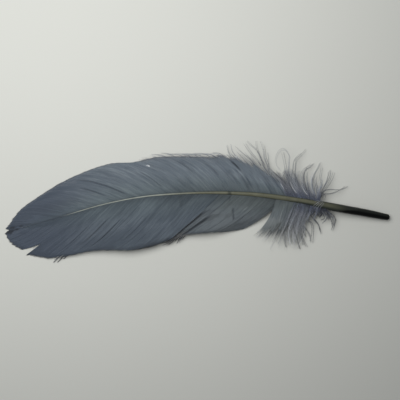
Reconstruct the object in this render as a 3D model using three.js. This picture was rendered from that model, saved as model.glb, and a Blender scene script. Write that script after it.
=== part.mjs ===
import * as THREE from 'three';

// A goose quill feather, loose, lying with its outer side up.
// Millimetres, +Z up. The tip points to -X and the quill end to +X, and the feather rests on z = 0.

// ---- Driving dimensions ----

const quillDiameter = 3.3;        // the bare quill, at its widest
const quillEndDiameter = 2.5;     // where the quill rounds off
const quillEndRounding = 0.8;     // length of that round end
const shaftTipDiameter = 0.5;     // where the shaft fades out between the vanes
const rachisTaper = 2.2;          // power of the shaft's taper: 1 is straight, more stays slim for longer
const shaftSides = 12;
const shaftSections = 60;
const clearance = 0.35;           // between one piece and the next

const vaneThickness = { atShaft: 0.5, atEdge: 0.25 };
const downThickness = { atShaft: 2.2, atEdge: 1.2 };
const vaneDroop = 1.7;            // power of the fall from the shaft: 1 is straight, more is rounder
const downDroop = 1.2;
const rowsPerGuide = 4;           // mesh rows between two guides
const vaneColumns = 9;            // mesh columns from the shaft to the edge
const downColumns = 6;

// ---- Materials ----

const finishes = {
  quill: { color: 0x2a2c26, roughness: 0.42, metalness: 0 },
  vane: { color: 0x56606a, roughness: 0.78, metalness: 0 },
  down: { color: 0x5d6874, roughness: 0.92, metalness: 0 },
};

// ---- Shaft: bare quill and rachis, one tapered body on a curved line ----

const shaftLine = new THREE.CatmullRomCurve3([
  new THREE.Vector3(-78, -11.2, 1.0),
  new THREE.Vector3(-60, -5.8, 2.9),
  new THREE.Vector3(-43, -1.0, 5.0),
  new THREE.Vector3(-26, 2.3, 6.7),
  new THREE.Vector3(-9, 3.8, 7.7),
  new THREE.Vector3(8, 4.3, 7.9),
  new THREE.Vector3(24, 3.8, 7.3),
  new THREE.Vector3(38, 2.2, 6.3),
  new THREE.Vector3(52, -0.3, 4.9),
  new THREE.Vector3(66, -3.1, 3.5),
  new THREE.Vector3(78, -5.1, 2.4),
  new THREE.Vector3(90, -7.4, 1.35),
]);
const shaftLength = shaftLine.getLength();
const up = new THREE.Vector3(0, 0, 1);

// Diameter at a fraction of the length from the tip: slim between the vanes, then the even quill.
function shaftDiameter(fraction) {
  const quillStart = 0.84;
  if (fraction < quillStart) {
    const taper = Math.pow(fraction / quillStart, rachisTaper);
    return THREE.MathUtils.lerp(shaftTipDiameter, quillDiameter, taper);
  }
  const narrowing = Math.pow((fraction - quillStart) / (1 - quillStart), 2);
  return THREE.MathUtils.lerp(quillDiameter, quillEndDiameter, narrowing);
}

// The lathed body stands along Y, and each ring is then carried to its place on the shaft line.
function makeShaft() {
  const bodyFraction = 1 - quillEndRounding / shaftLength;
  const profile = [new THREE.Vector2(0, 0)];
  for (let i = 0; i <= shaftSections; i += 1) {
    const fraction = (i / shaftSections) * bodyFraction;
    profile.push(new THREE.Vector2(shaftDiameter(fraction) / 2, fraction));
  }
  const roundSteps = 3;
  for (let i = 1; i <= roundSteps; i += 1) {
    const angle = (i / roundSteps) * (Math.PI / 2);
    const radius = i === roundSteps ? 0 : (quillEndDiameter / 2) * Math.cos(angle);
    const fraction = bodyFraction + (1 - bodyFraction) * Math.sin(angle);
    profile.push(new THREE.Vector2(radius, fraction));
  }
  const geometry = new THREE.LatheGeometry(profile, shaftSides);
  const position = geometry.attributes.position;
  for (let i = 0; i < position.count; i += 1) {
    const fraction = THREE.MathUtils.clamp(position.getY(i), 0, 1);
    const centre = shaftLine.getPointAt(fraction);
    const forward = shaftLine.getTangentAt(fraction);
    const side = new THREE.Vector3().crossVectors(forward, up).normalize();
    const above = new THREE.Vector3().crossVectors(side, forward);
    centre.addScaledVector(side, position.getX(i));
    centre.addScaledVector(above, position.getZ(i));
    position.setXYZ(i, centre.x, centre.y, centre.z);
  }
  geometry.computeVertexNormals();
  return geometry;
}

// Fraction along the shaft line at which it passes a given X.
function shaftFractionAt(x) {
  let low = 0;
  let high = 1;
  for (let step = 0; step < 24; step += 1) {
    const middle = (low + high) / 2;
    if (shaftLine.getPointAt(middle).x < x) low = middle;
    else high = middle;
  }
  return (low + high) / 2;
}

// Point where barbs grow at a given X: level with the shaft's upper side, just clear of it.
// side is +1 for the upper vane (+Y) and -1 for the lower one.
function besideShaft(x, side) {
  const fraction = shaftFractionAt(x);
  const centre = shaftLine.getPointAt(fraction);
  const forward = shaftLine.getTangentAt(fraction);
  const outward = new THREE.Vector3().crossVectors(up, forward).normalize();
  const radius = shaftDiameter(fraction) / 2;
  centre.addScaledVector(outward, side * (radius + clearance));
  const rise = 0.2 * radius;
  centre.z += rise;
  return centre;
}

// ---- Vanes and down: thin closed sheets between a root line and an outline ----

const point = (x, y, z) => new THREE.Vector3(x, y, z);

// A smooth line through points, read by point number, with a sharp turn at each number in corners.
function makeLine(points, corners) {
  const ends = [0, ...corners, points.length - 1];
  const stretches = ends.slice(1).map((last, i) => {
    const first = ends[i];
    return { first, last, curve: new THREE.CatmullRomCurve3(points.slice(first, last + 1)) };
  });
  return (number) => {
    const stretch = stretches.find(({ last }) => number <= last) ?? stretches.at(-1);
    return stretch.curve.getPoint((number - stretch.first) / (stretch.last - stretch.first));
  };
}

// A guide is a barb's root and tip. Guides run anticlockwise, seen from above, for a sheet
// to face outwards. The underside never goes below z = 0, so low stretches lie flat.
function makeSheet(guides, thickness, droop, columns, corners = []) {
  const rootAt = makeLine(guides.map((guide) => guide.root), []);
  const tipAt = makeLine(guides.map((guide) => guide.tip), corners);
  const lastGuide = guides.length - 1;
  const geometry = new THREE.BoxGeometry(1, 1, 1, lastGuide * rowsPerGuide, columns, 1);
  const position = geometry.attributes.position;
  for (let i = 0; i < position.count; i += 1) {
    const along = THREE.MathUtils.clamp(position.getX(i) + 0.5, 0, 1);
    const outward = THREE.MathUtils.clamp(position.getY(i) + 0.5, 0, 1);
    const isTop = position.getZ(i) > 0;
    const root = rootAt(along * lastGuide);
    const tip = tipAt(along * lastGuide);
    const here = THREE.MathUtils.lerp(thickness.atShaft, thickness.atEdge, outward);
    const middleZ = THREE.MathUtils.lerp(root.z, tip.z, Math.pow(outward, droop));
    const bottomZ = Math.max(0, middleZ - here / 2);
    position.setXYZ(
      i,
      THREE.MathUtils.lerp(root.x, tip.x, outward),
      THREE.MathUtils.lerp(root.y, tip.y, outward),
      isTop ? bottomZ + here : bottomZ,
    );
  }
  geometry.computeVertexNormals();
  return geometry;
}

// Upper vane, from the tip back to where it turns to down.
function makeUpperVane() {
  const from = (x) => besideShaft(x, 1);
  const guides = [
    { root: point(-79, -11.3, 0.9), tip: point(-89.2, -12.8, 0) },
    { root: from(-76), tip: point(-88.2, -10.8, 0) },
    { root: from(-68), tip: point(-86.4, -7.8, 0.1) },
    { root: from(-58), tip: point(-82.8, -3.7, 0.2) },
    { root: from(-48), tip: point(-77.6, 0.2, 0.3) },
    { root: from(-38), tip: point(-70.8, 4.7, 0.3) },
    { root: from(-29), tip: point(-62.3, 9.8, -0.2) },
    { root: from(-20), tip: point(-51, 14.7, -1.2) },
    { root: from(-12), tip: point(-40.5, 17.9, -2) },
    { root: from(-4), tip: point(-30.5, 18.4, -2.4) },
    { root: from(4), tip: point(-20.5, 20.8, -2.4) },
    { root: from(12), tip: point(-9.5, 21.9, -2) },
    { root: from(20), tip: point(2, 22.6, -1.2) },
    { root: from(27), tip: point(13.5, 21.2, 0.4) },
    { root: from(34), tip: point(24, 16.8, 2.2) },
    { root: from(40), tip: point(33.5, 11.6, 3.8) },
    { root: from(45), tip: point(43.6, 4.7, 5.2) },
  ];
  return makeSheet(guides, vaneThickness, vaneDroop, vaneColumns);
}

// Lower vane from its open split to the tip, with the notch between its two end lobes.
function makeLowerTipVane() {
  const from = (x) => besideShaft(x, -1);
  const guides = [
    { root: from(10.5), tip: point(-12.8, -17.5, 3.4) },
    { root: from(3), tip: point(-20.5, -20.7, 3.9) },
    { root: from(-5), tip: point(-31.5, -22.7, 3.9) },
    { root: from(-13), tip: point(-41, -22.6, 3.4) },
    { root: from(-21), tip: point(-50, -23.1, 2.7) },
    { root: from(-29), tip: point(-58.5, -24.9, 1.8) },
    { root: from(-36), tip: point(-65.4, -27.3, 1.2) },
    { root: from(-42.5), tip: point(-72, -26.1, 0.7) },
    { root: from(-49), tip: point(-79.3, -24.9, 0.3) },
    { root: from(-50.5), tip: point(-73, -20.1, 0.9) },
    { root: from(-52), tip: point(-79.8, -22.6, 0.3) },
    { root: from(-59), tip: point(-83.4, -21.3, 0) },
    { root: from(-67), tip: point(-86.4, -19, 0) },
    { root: from(-73), tip: point(-88.3, -16.2, 0) },
    { root: from(-76.5), tip: point(-89, -14.6, 0) },
    { root: point(-79, -11.65, 0.9), tip: point(-89.2, -13.3, 0) },
  ];
  const lobeEndsAndNotch = [8, 9, 10];
  return makeSheet(guides, vaneThickness, vaneDroop, vaneColumns, lobeEndsAndNotch);
}

// Lower vane behind the split, as far as the gap before the down.
function makeLowerRearVane() {
  const from = (x) => besideShaft(x, -1);
  const guides = [
    { root: from(40.5), tip: point(21, -12.8, 3.8) },
    { root: from(35), tip: point(14, -13.8, 3.9) },
    { root: from(29), tip: point(7, -14.2, 4) },
    { root: from(23), tip: point(0.5, -14.7, 4) },
    { root: from(17), tip: point(-5.5, -15.5, 3.7) },
    { root: from(12), tip: point(-10.9, -16.6, 3.3) },
  ];
  return makeSheet(guides, vaneThickness, vaneDroop, vaneColumns);
}

// Soft down on the upper side: behind the vane's edge, then straight off the shaft.
function makeUpperDown() {
  const from = (x) => besideShaft(x, 1);
  const guides = [
    { root: point(15.9, 21.2, 1.2), tip: point(13.2, 24.2, 0.8) },
    { root: point(20.6, 19.2, 1.7), tip: point(19, 26.2, 0.8) },
    { root: point(26.1, 16.7, 2.4), tip: point(29.5, 28, -0.2) },
    { root: point(35.5, 11.5, 3.8), tip: point(41, 25, -0.4) },
    { root: point(44.4, 5.4, 5.2), tip: point(50.6, 24.2, -0.4) },
    { root: from(48), tip: point(56.9, 18.8, -0.2) },
    { root: from(54), tip: point(63.4, 14.9, 0.2) },
    { root: from(60), tip: point(68.8, 8, 0.8) },
    { root: from(65), tip: point(69, 3.4, 1.6) },
  ];
  return makeSheet(guides, downThickness, downDroop, downColumns);
}

// Soft down on the lower side, from the bare quill back to the gap.
function makeLowerDown() {
  const from = (x) => besideShaft(x, -1);
  const guides = [
    { root: from(65), tip: point(66.8, -6.6, 1.6) },
    { root: from(62), tip: point(63.6, -13, 0.8) },
    { root: from(58.5), tip: point(57.8, -15.4, 0) },
    { root: from(55), tip: point(52.6, -19, -0.4) },
    { root: from(51.5), tip: point(46, -22.3, -0.4) },
    { root: from(48), tip: point(37, -21.6, -0.4) },
    { root: from(45), tip: point(29, -19, 0) },
    { root: from(41.3), tip: point(22.6, -17.2, 1.4) },
  ];
  return makeSheet(guides, downThickness, downDroop, downColumns);
}

// ---- Assembly ----

function addPiece(group, name, geometry, finish) {
  const material = new THREE.MeshStandardMaterial(finish);
  material.flatShading = true;
  const mesh = new THREE.Mesh(geometry, material);
  mesh.name = name;
  group.add(mesh);
}

const feather = new THREE.Group();
addPiece(feather, 'shaft', makeShaft(), finishes.quill);
addPiece(feather, 'vane_upper', makeUpperVane(), finishes.vane);
addPiece(feather, 'vane_lower_tip', makeLowerTipVane(), finishes.vane);
addPiece(feather, 'vane_lower_rear', makeLowerRearVane(), finishes.vane);
addPiece(feather, 'down_upper', makeUpperDown(), finishes.down);
addPiece(feather, 'down_lower', makeLowerDown(), finishes.down);

// The origin is the middle of the box around the feather, at its lowest level.
const box = new THREE.Box3().setFromObject(feather);
const middle = box.getCenter(new THREE.Vector3());
feather.position.set(-middle.x, -middle.y, -box.min.z);

export default feather;
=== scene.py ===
import math

import bpy
import numpy as np
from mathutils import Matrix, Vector


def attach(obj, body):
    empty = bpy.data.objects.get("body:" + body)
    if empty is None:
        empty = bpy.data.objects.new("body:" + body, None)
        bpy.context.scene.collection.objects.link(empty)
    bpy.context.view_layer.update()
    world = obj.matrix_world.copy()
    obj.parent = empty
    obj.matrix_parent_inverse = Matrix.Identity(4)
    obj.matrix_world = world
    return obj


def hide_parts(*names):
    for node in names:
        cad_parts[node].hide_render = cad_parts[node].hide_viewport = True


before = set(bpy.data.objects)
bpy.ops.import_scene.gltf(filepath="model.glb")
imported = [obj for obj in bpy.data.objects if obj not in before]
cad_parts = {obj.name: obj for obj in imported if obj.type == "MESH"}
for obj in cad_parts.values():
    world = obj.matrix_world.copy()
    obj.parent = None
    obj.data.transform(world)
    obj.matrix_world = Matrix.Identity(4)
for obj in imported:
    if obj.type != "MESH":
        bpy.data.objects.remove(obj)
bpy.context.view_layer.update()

# Lengths are in millimetres until makePiece turns them into metres. The plans are drawn around the middle
# of the shaft, and planShift moves them to the frame's own middle.
mm = 0.001
planShift = np.array([-0.41, -0.35, 0.0])
restGap = 0.06  # lowest place of a barb's centre line over the floor


# curves and slow random change

def unit(vectors):
    return vectors / np.maximum(np.linalg.norm(vectors, axis=-1, keepdims=True), 1e-9)


def smoothStep(low, high, values):
    t = np.clip((values - low) / (high - low), 0, 1)
    return t * t * (3 - 2 * t)


def readSpline(rows, numbers):
    # Catmull-Rom through the rows, read at fractional row numbers
    rows = np.asarray(rows, float)
    numbers = np.asarray(numbers, float)
    before = 2 * rows[:1] - rows[1:2]
    after = 2 * rows[-1:] - rows[-2:-1]
    padded = np.concatenate([before, rows, after])
    i = np.clip(np.floor(numbers).astype(int), 0, len(rows) - 2)
    t = (numbers - i)[:, None]
    a, b, c, d = padded[i], padded[i + 1], padded[i + 2], padded[i + 3]
    return 0.5 * (2 * b + (c - a) * t + (2 * a - 5 * b + 4 * c - d) * t**2 + (3 * b - a - 3 * c + d) * t**3)


def readLine(places, marks, rows):
    # the rows stand at the marks, and are read at the places
    return np.stack([np.interp(places, marks, column) for column in rows.T], axis=-1)


def travelAlong(rows):
    return np.concatenate([[0], np.cumsum(np.linalg.norm(np.diff(rows, axis=0), axis=-1))])


def bezier(first, second, third, last, v):
    return first * (1 - v)**3 + 3 * second * v * (1 - v)**2 + 3 * third * v**2 * (1 - v) + last * v**3


def between(begin, end, soft, v):
    return smoothStep(begin, begin + soft, v) * (1 - smoothStep(end - soft, end, v))


def mottle(random, count, rings, across, along):
    # smooth random values over barbs and rings, turning every `across` barbs and every `along` rings
    knots = random.uniform(-1, 1, (int(count / across) + 3, int(rings / along) + 3))
    rows = readSpline(knots, np.linspace(0, knots.shape[0] - 1, count))
    return readSpline(rows.T, np.linspace(0, knots.shape[1] - 1, rings)).T


# line and thickness of the shaft, for everything that grows from it

shaftPlan = {
    "line": [
        (-78, -11.2, 1.0), (-60, -5.8, 2.9), (-43, -1.0, 5.0), (-26, 2.3, 6.7), (-9, 3.8, 7.7),
        (8, 4.25, 7.9), (24, 3.65, 7.3), (38, 2.1, 6.3), (52, -0.2, 4.9), (66, -2.95, 3.5),
        (78, -5.05, 2.42), (90, -7.4, 1.43),
    ],
    # x and width
    "widths": [
        (-79, 0.22), (-70, 0.32), (-60, 0.42), (-45, 0.54), (-28, 0.68), (-8, 1.0), (12, 1.65),
        (30, 2.35), (45, 2.8), (55, 3.3), (66, 3.75), (74, 3.6), (82, 3.35), (88, 2.85), (90, 2.5),
    ],
    "depthRatio": 1.08,
}
shaftTable = readSpline(shaftPlan["line"], np.linspace(0, len(shaftPlan["line"]) - 1, 900))
shaftForward = unit(np.gradient(shaftTable, axis=0))
widthTable = np.array(shaftPlan["widths"], float)


def shaftAt(x):
    centre = readLine(x, shaftTable[:, 0], shaftTable)
    forward = unit(readLine(x, shaftTable[:, 0], shaftForward))
    return centre, forward, np.interp(x, *widthTable.T) / 2


def rootsAt(x, side, outward, rise):
    # outward and rise are parts of the shaft's radius
    centre, forward, radius = shaftAt(x)
    sideways = unit(np.cross([0, 0, 1.0], forward))
    roots = centre + sideways * (side * outward * radius)[:, None]
    roots[:, 2] += rise * radius * shaftPlan["depthRatio"]
    return roots


# materials: one small class carries a socket, so shader maths reads as Python

class Wire:
    def __init__(self, tree, socket=None):
        self.tree = tree
        self.socket = socket

    def node(self, kind, settings=None, values=None, output=0):
        made = self.tree.nodes.new(kind)
        for name, value in (settings or {}).items():
            setattr(made, name, value)
        for name, value in (values or {}).items():
            if isinstance(value, Wire):
                self.tree.links.new(value.socket, made.inputs[name])
            else:
                made.inputs[name].default_value = value
        return Wire(self.tree, made.outputs[output])

    def maths(self, operation, first, second=0.0):
        return self.node("ShaderNodeMath", {"operation": operation}, {0: first, 1: second})

    def __add__(self, other):
        return self.maths("ADD", self, other)

    __radd__ = __add__

    def __mul__(self, other):
        return self.maths("MULTIPLY", self, other)

    __rmul__ = __mul__

    def __sub__(self, other):
        return self.maths("SUBTRACT", self, other)

    def __rsub__(self, other):
        return self.maths("SUBTRACT", other, self)

    def size(self):
        return self.maths("ABSOLUTE", self)

    def step(self, low, high, fromValue=0.0, toValue=1.0):
        return self.node("ShaderNodeMapRange", {"interpolation_type": "SMOOTHSTEP"}, {
            "Value": self, "From Min": low, "From Max": high, "To Min": fromValue, "To Max": toValue,
        })

    def blend(self, first, second):
        # as this value goes from 0 to 1, the first colour turns into the second
        made = self.tree.nodes.new("ShaderNodeMix")
        made.data_type = "RGBA"
        sockets = {socket.identifier: socket for socket in made.inputs}
        for name, value in (("Factor_Float", self), ("A_Color", first), ("B_Color", second)):
            if isinstance(value, Wire):
                self.tree.links.new(value.socket, sockets[name])
            else:
                sockets[name].default_value = (*value, 1.0)
        return Wire(self.tree, {socket.identifier: socket for socket in made.outputs}["Result_Color"])

    def times(self, factors):
        # product of two colours or places
        return self.node("ShaderNodeVectorMath", {"operation": "MULTIPLY"}, {0: self, 1: factors})

    def shade(self, colour):
        # the colour times this grey value
        grey = self.node("ShaderNodeCombineColor", None, {"Red": self, "Green": self, "Blue": self})
        return grey.times(colour)


def newMaterial(name, constants):
    # constants go straight on the shader's own sockets
    material = bpy.data.materials.new(name)
    material.use_nodes = True
    shader = material.node_tree.nodes["Principled BSDF"]
    for socket, value in constants.items():
        shader.inputs[socket].default_value = value
    return material, shader, Wire(material.node_tree)


def feed(shader, socket, wire):
    wire.tree.links.new(wire.socket, shader.inputs[socket])


def pointValue(start, name):
    return start.node("ShaderNodeAttribute", {"attribute_name": name}, None, output=2)


def objectPlace(start):
    return start.node("ShaderNodeTexCoord", None, None, output=3)


def noiseAt(place, scale):
    return place.node("ShaderNodeTexNoise", None, {
        "Vector": place, "Scale": scale, "Detail": 3.0, "Roughness": 0.55,
    })


def lengthwise(place):
    return place.node("ShaderNodeSeparateXYZ", None, {"Vector": place})


white = (1.0, 1.0, 1.0)

vaneFinish = {
    "dark": (0.058, 0.076, 0.098),
    "middle": (0.112, 0.138, 0.164),
    "light": (0.178, 0.209, 0.234),
    "tip": (0.052, 0.068, 0.096),
    "loose": (0.310, 0.327, 0.342),
    "rootTint": (0.95, 0.99, 0.925),
    "warmTint": (1.08, 1.02, 0.93),
    "toneReach": 0.34,
    "cloudReach": 0.35,
    "cloudScale": 110.0,
    "tipRun": (-0.040, -0.073),  # where the tip's colour comes in, metres along the feather
    "tipShare": 0.88,
    "ramus": 1.10,  # the raised middle of a barb is a little lighter than its sides
    # painted shade on the curled-down ends of the zipped barbs
    "edge": 0.62,
    "edgeRun": (0.955, 0.995),  # parts of a barb's zipped length
    # painted shade where the barbs meet the shaft
    "root": 0.78,
    "rootShadeRun": (0.0, 0.13),
    "tintRun": (0.0, 0.55),
    "rachisShadow": 0.235,  # painted shadow of the thick part of the rachis on the vane next to it
    "rachisShadowRun": (0.40, 0.04),
    "thickRun": (-0.032, -0.004),
    "foldShade": 0.38,  # painted shade: the darkest tones, in folds and partings, get darker still
    "foldShadeTones": (-1.7, -3.4),
    "constants": {"Roughness": 0.66, "Sheen Weight": 0.22, "Sheen Roughness": 0.5, "IOR": 1.4},
}


def makeVaneMaterial():
    finish = vaneFinish
    material, shader, start = newMaterial("vaneBarbs", finish["constants"])
    place = objectPlace(start)
    x = lengthwise(place)
    along = pointValue(start, "along")
    tone = pointValue(start, "tone")
    cloud = noiseAt(place, finish["cloudScale"]) - 0.5
    value = 0.5 + finish["toneReach"] * tone + finish["cloudReach"] * cloud
    low = value.step(0.0, 0.5).blend(finish["dark"], finish["middle"])
    full = value.step(0.5, 1.0).blend(low, finish["light"])
    coloured = (x.step(*finish["tipRun"]) * finish["tipShare"]).blend(full, finish["tip"])
    coloured = pointValue(start, "loose").blend(coloured, finish["loose"])
    coloured = coloured.times(along.step(*finish["tintRun"]).blend(finish["rootTint"], white))
    coloured = coloured.times(pointValue(start, "warmth").blend(white, finish["warmTint"]))
    ridge = (1.0 - pointValue(start, "lateral").size()).step(0.5, 1.0, 1.0, finish["ramus"])
    # painted shade: darker at the curled-down barb ends and where the barbs meet the shaft
    borderShade = along.step(*finish["edgeRun"], 1.0, finish["edge"])
    borderShade = borderShade * along.step(*finish["rootShadeRun"], finish["root"], 1.0)
    # painted shadow of the rachis on the vane next to its thick part
    rachisShadow = finish["rachisShadow"] * x.step(*finish["thickRun"]) * along.step(*finish["rachisShadowRun"])
    # painted shade in folds and partings, darker than any tone
    foldShade = tone.step(*finish["foldShadeTones"], 1.0, finish["foldShade"])
    feed(shader, "Base Color", (ridge * borderShade * (1.0 - rachisShadow) * foldShade).shade(coloured))
    return material


downFinish = {
    "root": (0.096, 0.115, 0.172),
    "middle": (0.290, 0.312, 0.350),
    "tip": (0.470, 0.487, 0.498),
    "middleRun": (1.0, 7.0),  # mm out of the shaft
    "tipRun": (7.0, 18.0),
    "toneReach": 0.38,
    "constants": {"Roughness": 0.8, "Sheen Weight": 0.2, "Sheen Roughness": 0.6, "IOR": 1.4},
}


def makeDownMaterial():
    finish = downFinish
    material, shader, start = newMaterial("downPlumes", finish["constants"])
    out = pointValue(start, "out")
    base = out.step(*finish["middleRun"]).blend(finish["root"], finish["middle"])
    full = out.step(*finish["tipRun"]).blend(base, finish["tip"])
    feed(shader, "Base Color", (1.0 + finish["toneReach"] * pointValue(start, "tone")).shade(full))
    return material


# near-white colour, for the pale fleck and for the painted highlight on bare stems
paleAndHighlightFinish = {
    "low": (0.50, 0.53, 0.56),
    "high": (0.85, 0.87, 0.88),
    "streakScale": 900.0,
    "constants": {"Roughness": 0.45, "Sheen Weight": 0.2, "IOR": 1.45},
}


def makePaleAndHighlightMaterial():
    finish = paleAndHighlightFinish
    material, shader, start = newMaterial("paleFibresAndHighlights", finish["constants"])
    streak = noiseAt(objectPlace(start), finish["streakScale"])
    feed(shader, "Base Color", streak.step(0.3, 0.7).blend(finish["low"], finish["high"]))
    return material


quillFinish = {
    "black": (0.0008, 0.0010, 0.0009),
    "olive": (0.138, 0.140, 0.097),
    "dull": (0.088, 0.090, 0.062),
    "pale": (0.330, 0.355, 0.318),
    # colour of the bruise, and of the painted shade on the shaft's sides
    "edge": (0.024, 0.030, 0.026),
    # dark olive of the quill; on the top of the black end it is painted light
    "shade": (0.022, 0.025, 0.021),
    "tip": (0.050, 0.064, 0.088),
    # metres along the feather
    "paleRun": (0.006, -0.028),
    "tipRun": (-0.054, -0.066),
    "dullRun": (0.047, 0.060),
    "shadeRun": (0.0595, 0.0705),
    "blackRun": (0.0685, 0.0725),
    "litTopRun": (0.070, 0.076),
    "underShadeRun": (0.036, 0.050),
    "bruisePlace": 0.0143,
    "bruiseRun": (0.0013, 0.0003),
    "bruiseDepth": 0.65,
    # across the shaft, from -1 to 1
    "borderShadeRun": (0.55, 0.95),
    "underShadeSide": (0.0, -0.6),
    "borderShadeDepth": 0.85,
    "litTopSide": (-0.05, 0.45),
    "litTopDepth": 0.6,
    # noise over the places, stretched along the shaft
    "streakPlaces": (0.12, 1.0, 1.0),
    "streakScale": 1500.0,
    "patchPlaces": (1.0, 0.4, 0.4),
    "patchScale": 420.0,
    "relief": {"Strength": 0.3, "Distance": 0.0001},
    "constants": {"IOR": 1.45, "Roughness": 0.33, "Specular IOR Level": 0.22},
}


def makeQuillMaterial():
    finish = quillFinish
    material, shader, start = newMaterial("quillHorn", finish["constants"])
    place = objectPlace(start)
    x = lengthwise(place)
    across = pointValue(start, "across")  # from -1 on the lower side to 1 on the upper side
    streak = noiseAt(place.times(finish["streakPlaces"]), finish["streakScale"])
    patch = noiseAt(place.times(finish["patchPlaces"]), finish["patchScale"])
    horn = x.step(*finish["paleRun"]).blend(finish["olive"], finish["pale"])
    horn = (0.65 + 0.5 * patch).shade(horn)
    horn = x.step(*finish["tipRun"]).blend(horn, finish["tip"])
    bruise = (x - finish["bruisePlace"]).size().step(*finish["bruiseRun"], 0.0, finish["bruiseDepth"])
    horn = bruise.blend(horn, finish["edge"])
    horn = x.step(*finish["dullRun"]).blend(horn, finish["dull"])
    # painted shade: dark borders on both sides of the round shaft, the lower one stronger on the quill
    borderShade = across.size().step(*finish["borderShadeRun"])
    horn = (borderShade * finish["borderShadeDepth"]).blend(horn, finish["edge"])
    underShade = across.step(*finish["underShadeSide"]) * x.step(*finish["underShadeRun"])
    horn = (underShade * finish["borderShadeDepth"]).blend(horn, finish["edge"])
    # the quill darkens along its length and its end is dyed black; the black comes first on the lower side,
    # as painted shade
    horn = x.step(*finish["shadeRun"]).blend(horn, finish["shade"])
    ragged = x + 0.005 * (patch - 0.5) - 0.008 * across
    horn = ragged.step(*finish["blackRun"]).blend(horn, finish["black"])
    # painted light: the top of the black end is lighter
    litTop = across.step(*finish["litTopSide"]) * x.step(*finish["litTopRun"])
    horn = (litTop * finish["litTopDepth"]).blend(horn, finish["shade"])
    feed(shader, "Base Color", (0.71 + 0.35 * streak).shade(horn))
    bump = start.node("ShaderNodeBump", None, {**finish["relief"], "Height": streak})
    feed(shader, "Normal", bump)
    return material


# meshes: rings along many curves at once, and spikes for barbules

def makePiece(name, parts, material, slotName, *nodes):
    # a part holds points, faces with their uv corners, and values on the points
    points = np.concatenate([part["points"] for part in parts])
    starts = np.cumsum([0] + [len(part["points"]) for part in parts])
    corners, sizes, uvs = [], [], []
    for part, start in zip(parts, starts):
        for faces, faceUvs in part["faces"]:
            corners.append(faces.reshape(-1) + start)
            sizes.append(np.full(len(faces), faces.shape[1]))
            uvs.append(faceUvs.reshape(-1, 2))
    corners = np.concatenate(corners)
    sizes = np.concatenate(sizes)
    mesh = bpy.data.meshes.new(name)
    mesh.vertices.add(len(points))
    mesh.vertices.foreach_set("co", ((points + planShift) * mm).astype(np.float32).ravel())
    mesh.loops.add(len(corners))
    mesh.loops.foreach_set("vertex_index", corners.astype(np.int32))
    mesh.polygons.add(len(sizes))
    mesh.polygons.foreach_set("loop_start", np.concatenate([[0], np.cumsum(sizes)[:-1]]).astype(np.int32))
    mesh.polygons.foreach_set("loop_total", sizes.astype(np.int32))
    mesh.polygons.foreach_set("use_smooth", np.ones(len(sizes), bool))
    layer = mesh.uv_layers.new(name="OFBake")
    layer.data.foreach_set("uv", np.concatenate(uvs).astype(np.float32).ravel())
    for value in parts[0]["values"]:
        levels = np.concatenate([part["values"][value] for part in parts])
        mesh.attributes.new(value, "FLOAT", "POINT").data.foreach_set("value", levels.astype(np.float32))
    mesh.update(calc_edges=True)
    mesh.materials.append(material)
    piece = bpy.data.objects.new(name, mesh)
    bpy.context.scene.collection.objects.link(piece)
    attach(piece, "root")
    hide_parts(*nodes)
    print(name, "has", int((sizes - 2).sum()), "triangles")


def ringFaces(curveCount, ringCount, sideCount, turned=False):
    # quads between rings, and a cap at each end of each curve; turned faces run the other way round
    curve, ring, side = np.meshgrid(
        np.arange(curveCount), np.arange(ringCount - 1), np.arange(sideCount), indexing="ij")
    after = (side + 1) % sideCount
    near = (curve * ringCount + ring) * sideCount
    far = near + sideCount
    quads = np.stack([near + side, far + side, far + after, near + after], axis=-1).reshape(-1, 4)
    heads = np.arange(curveCount)[:, None] * ringCount * sideCount
    rootCaps = heads + np.arange(sideCount)[None]
    tipCaps = heads + (ringCount - 1) * sideCount + np.arange(sideCount)[None, ::-1]
    return [rows[:, ::-1] if turned else rows for rows in (quads, rootCaps, tipCaps)]


def spreadOver(values, shape):
    return np.broadcast_to(values, shape).reshape(-1)


def tubePart(points, uvAcross, values, turned=False):
    # points by curve, ring and side; uvAcross places the sides in the curve's own strip of the uv map
    shape = points.shape[:3]
    count, rings, sides = shape
    column = (np.arange(count)[:, None] + 0.5 + uvAcross[None]) / count
    uv = np.stack([
        spreadOver(column[:, None], shape),
        spreadOver(np.linspace(0, 1, rings)[None, :, None], shape),
    ], axis=-1)
    return {
        "points": points.reshape(-1, 3),
        "faces": [(rows, uv[rows]) for rows in ringFaces(count, rings, sides, turned)],
        "values": {name: spreadOver(level, shape) for name, level in values.items()},
    }


def curveFrame(curves, spread):
    # upward and sideways directions; spread is a direction across each curve
    along = unit(np.gradient(curves, axis=1))
    upward = np.cross(along, spread)
    upward = unit(upward * np.where(upward[..., 2:] < 0, -1.0, 1.0))
    return upward, np.cross(upward, along)


# a barb in section: edge, groove, ridge, groove, edge and keel, across in parts of its half width
barbSection = {
    "across": np.array([-1.0, -0.32, 0.0, 0.32, 1.0, 0.0]),
    "height": np.array([0.0, 0.006, 0.065, 0.006, 0.0, -0.09]),  # mm, of a barb at least fullHalf wide
    "fullHalf": 0.12,
    "thinnest": 0.2,
    "uvStrip": 0.46,
}


def barbPart(curves, halfWidth, sideways, upward, tilt, values):
    section = barbSection
    thin = np.clip(halfWidth / section["fullHalf"], section["thinnest"], 1.0)[..., None]
    across = section["across"] * halfWidth[..., None]
    height = section["height"] * thin + across * np.tan(tilt)[:, None, None]
    points = curves[:, :, None] + sideways[:, :, None] * across[..., None]
    points = points + upward[:, :, None] * height[..., None]
    values = {name: level[:, :, None] for name, level in values.items()}
    values["lateral"] = section["across"][None, None]
    return tubePart(points, section["uvStrip"] * section["across"], values)


# vanes: barbs side by side, each read from guide barbs

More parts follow.
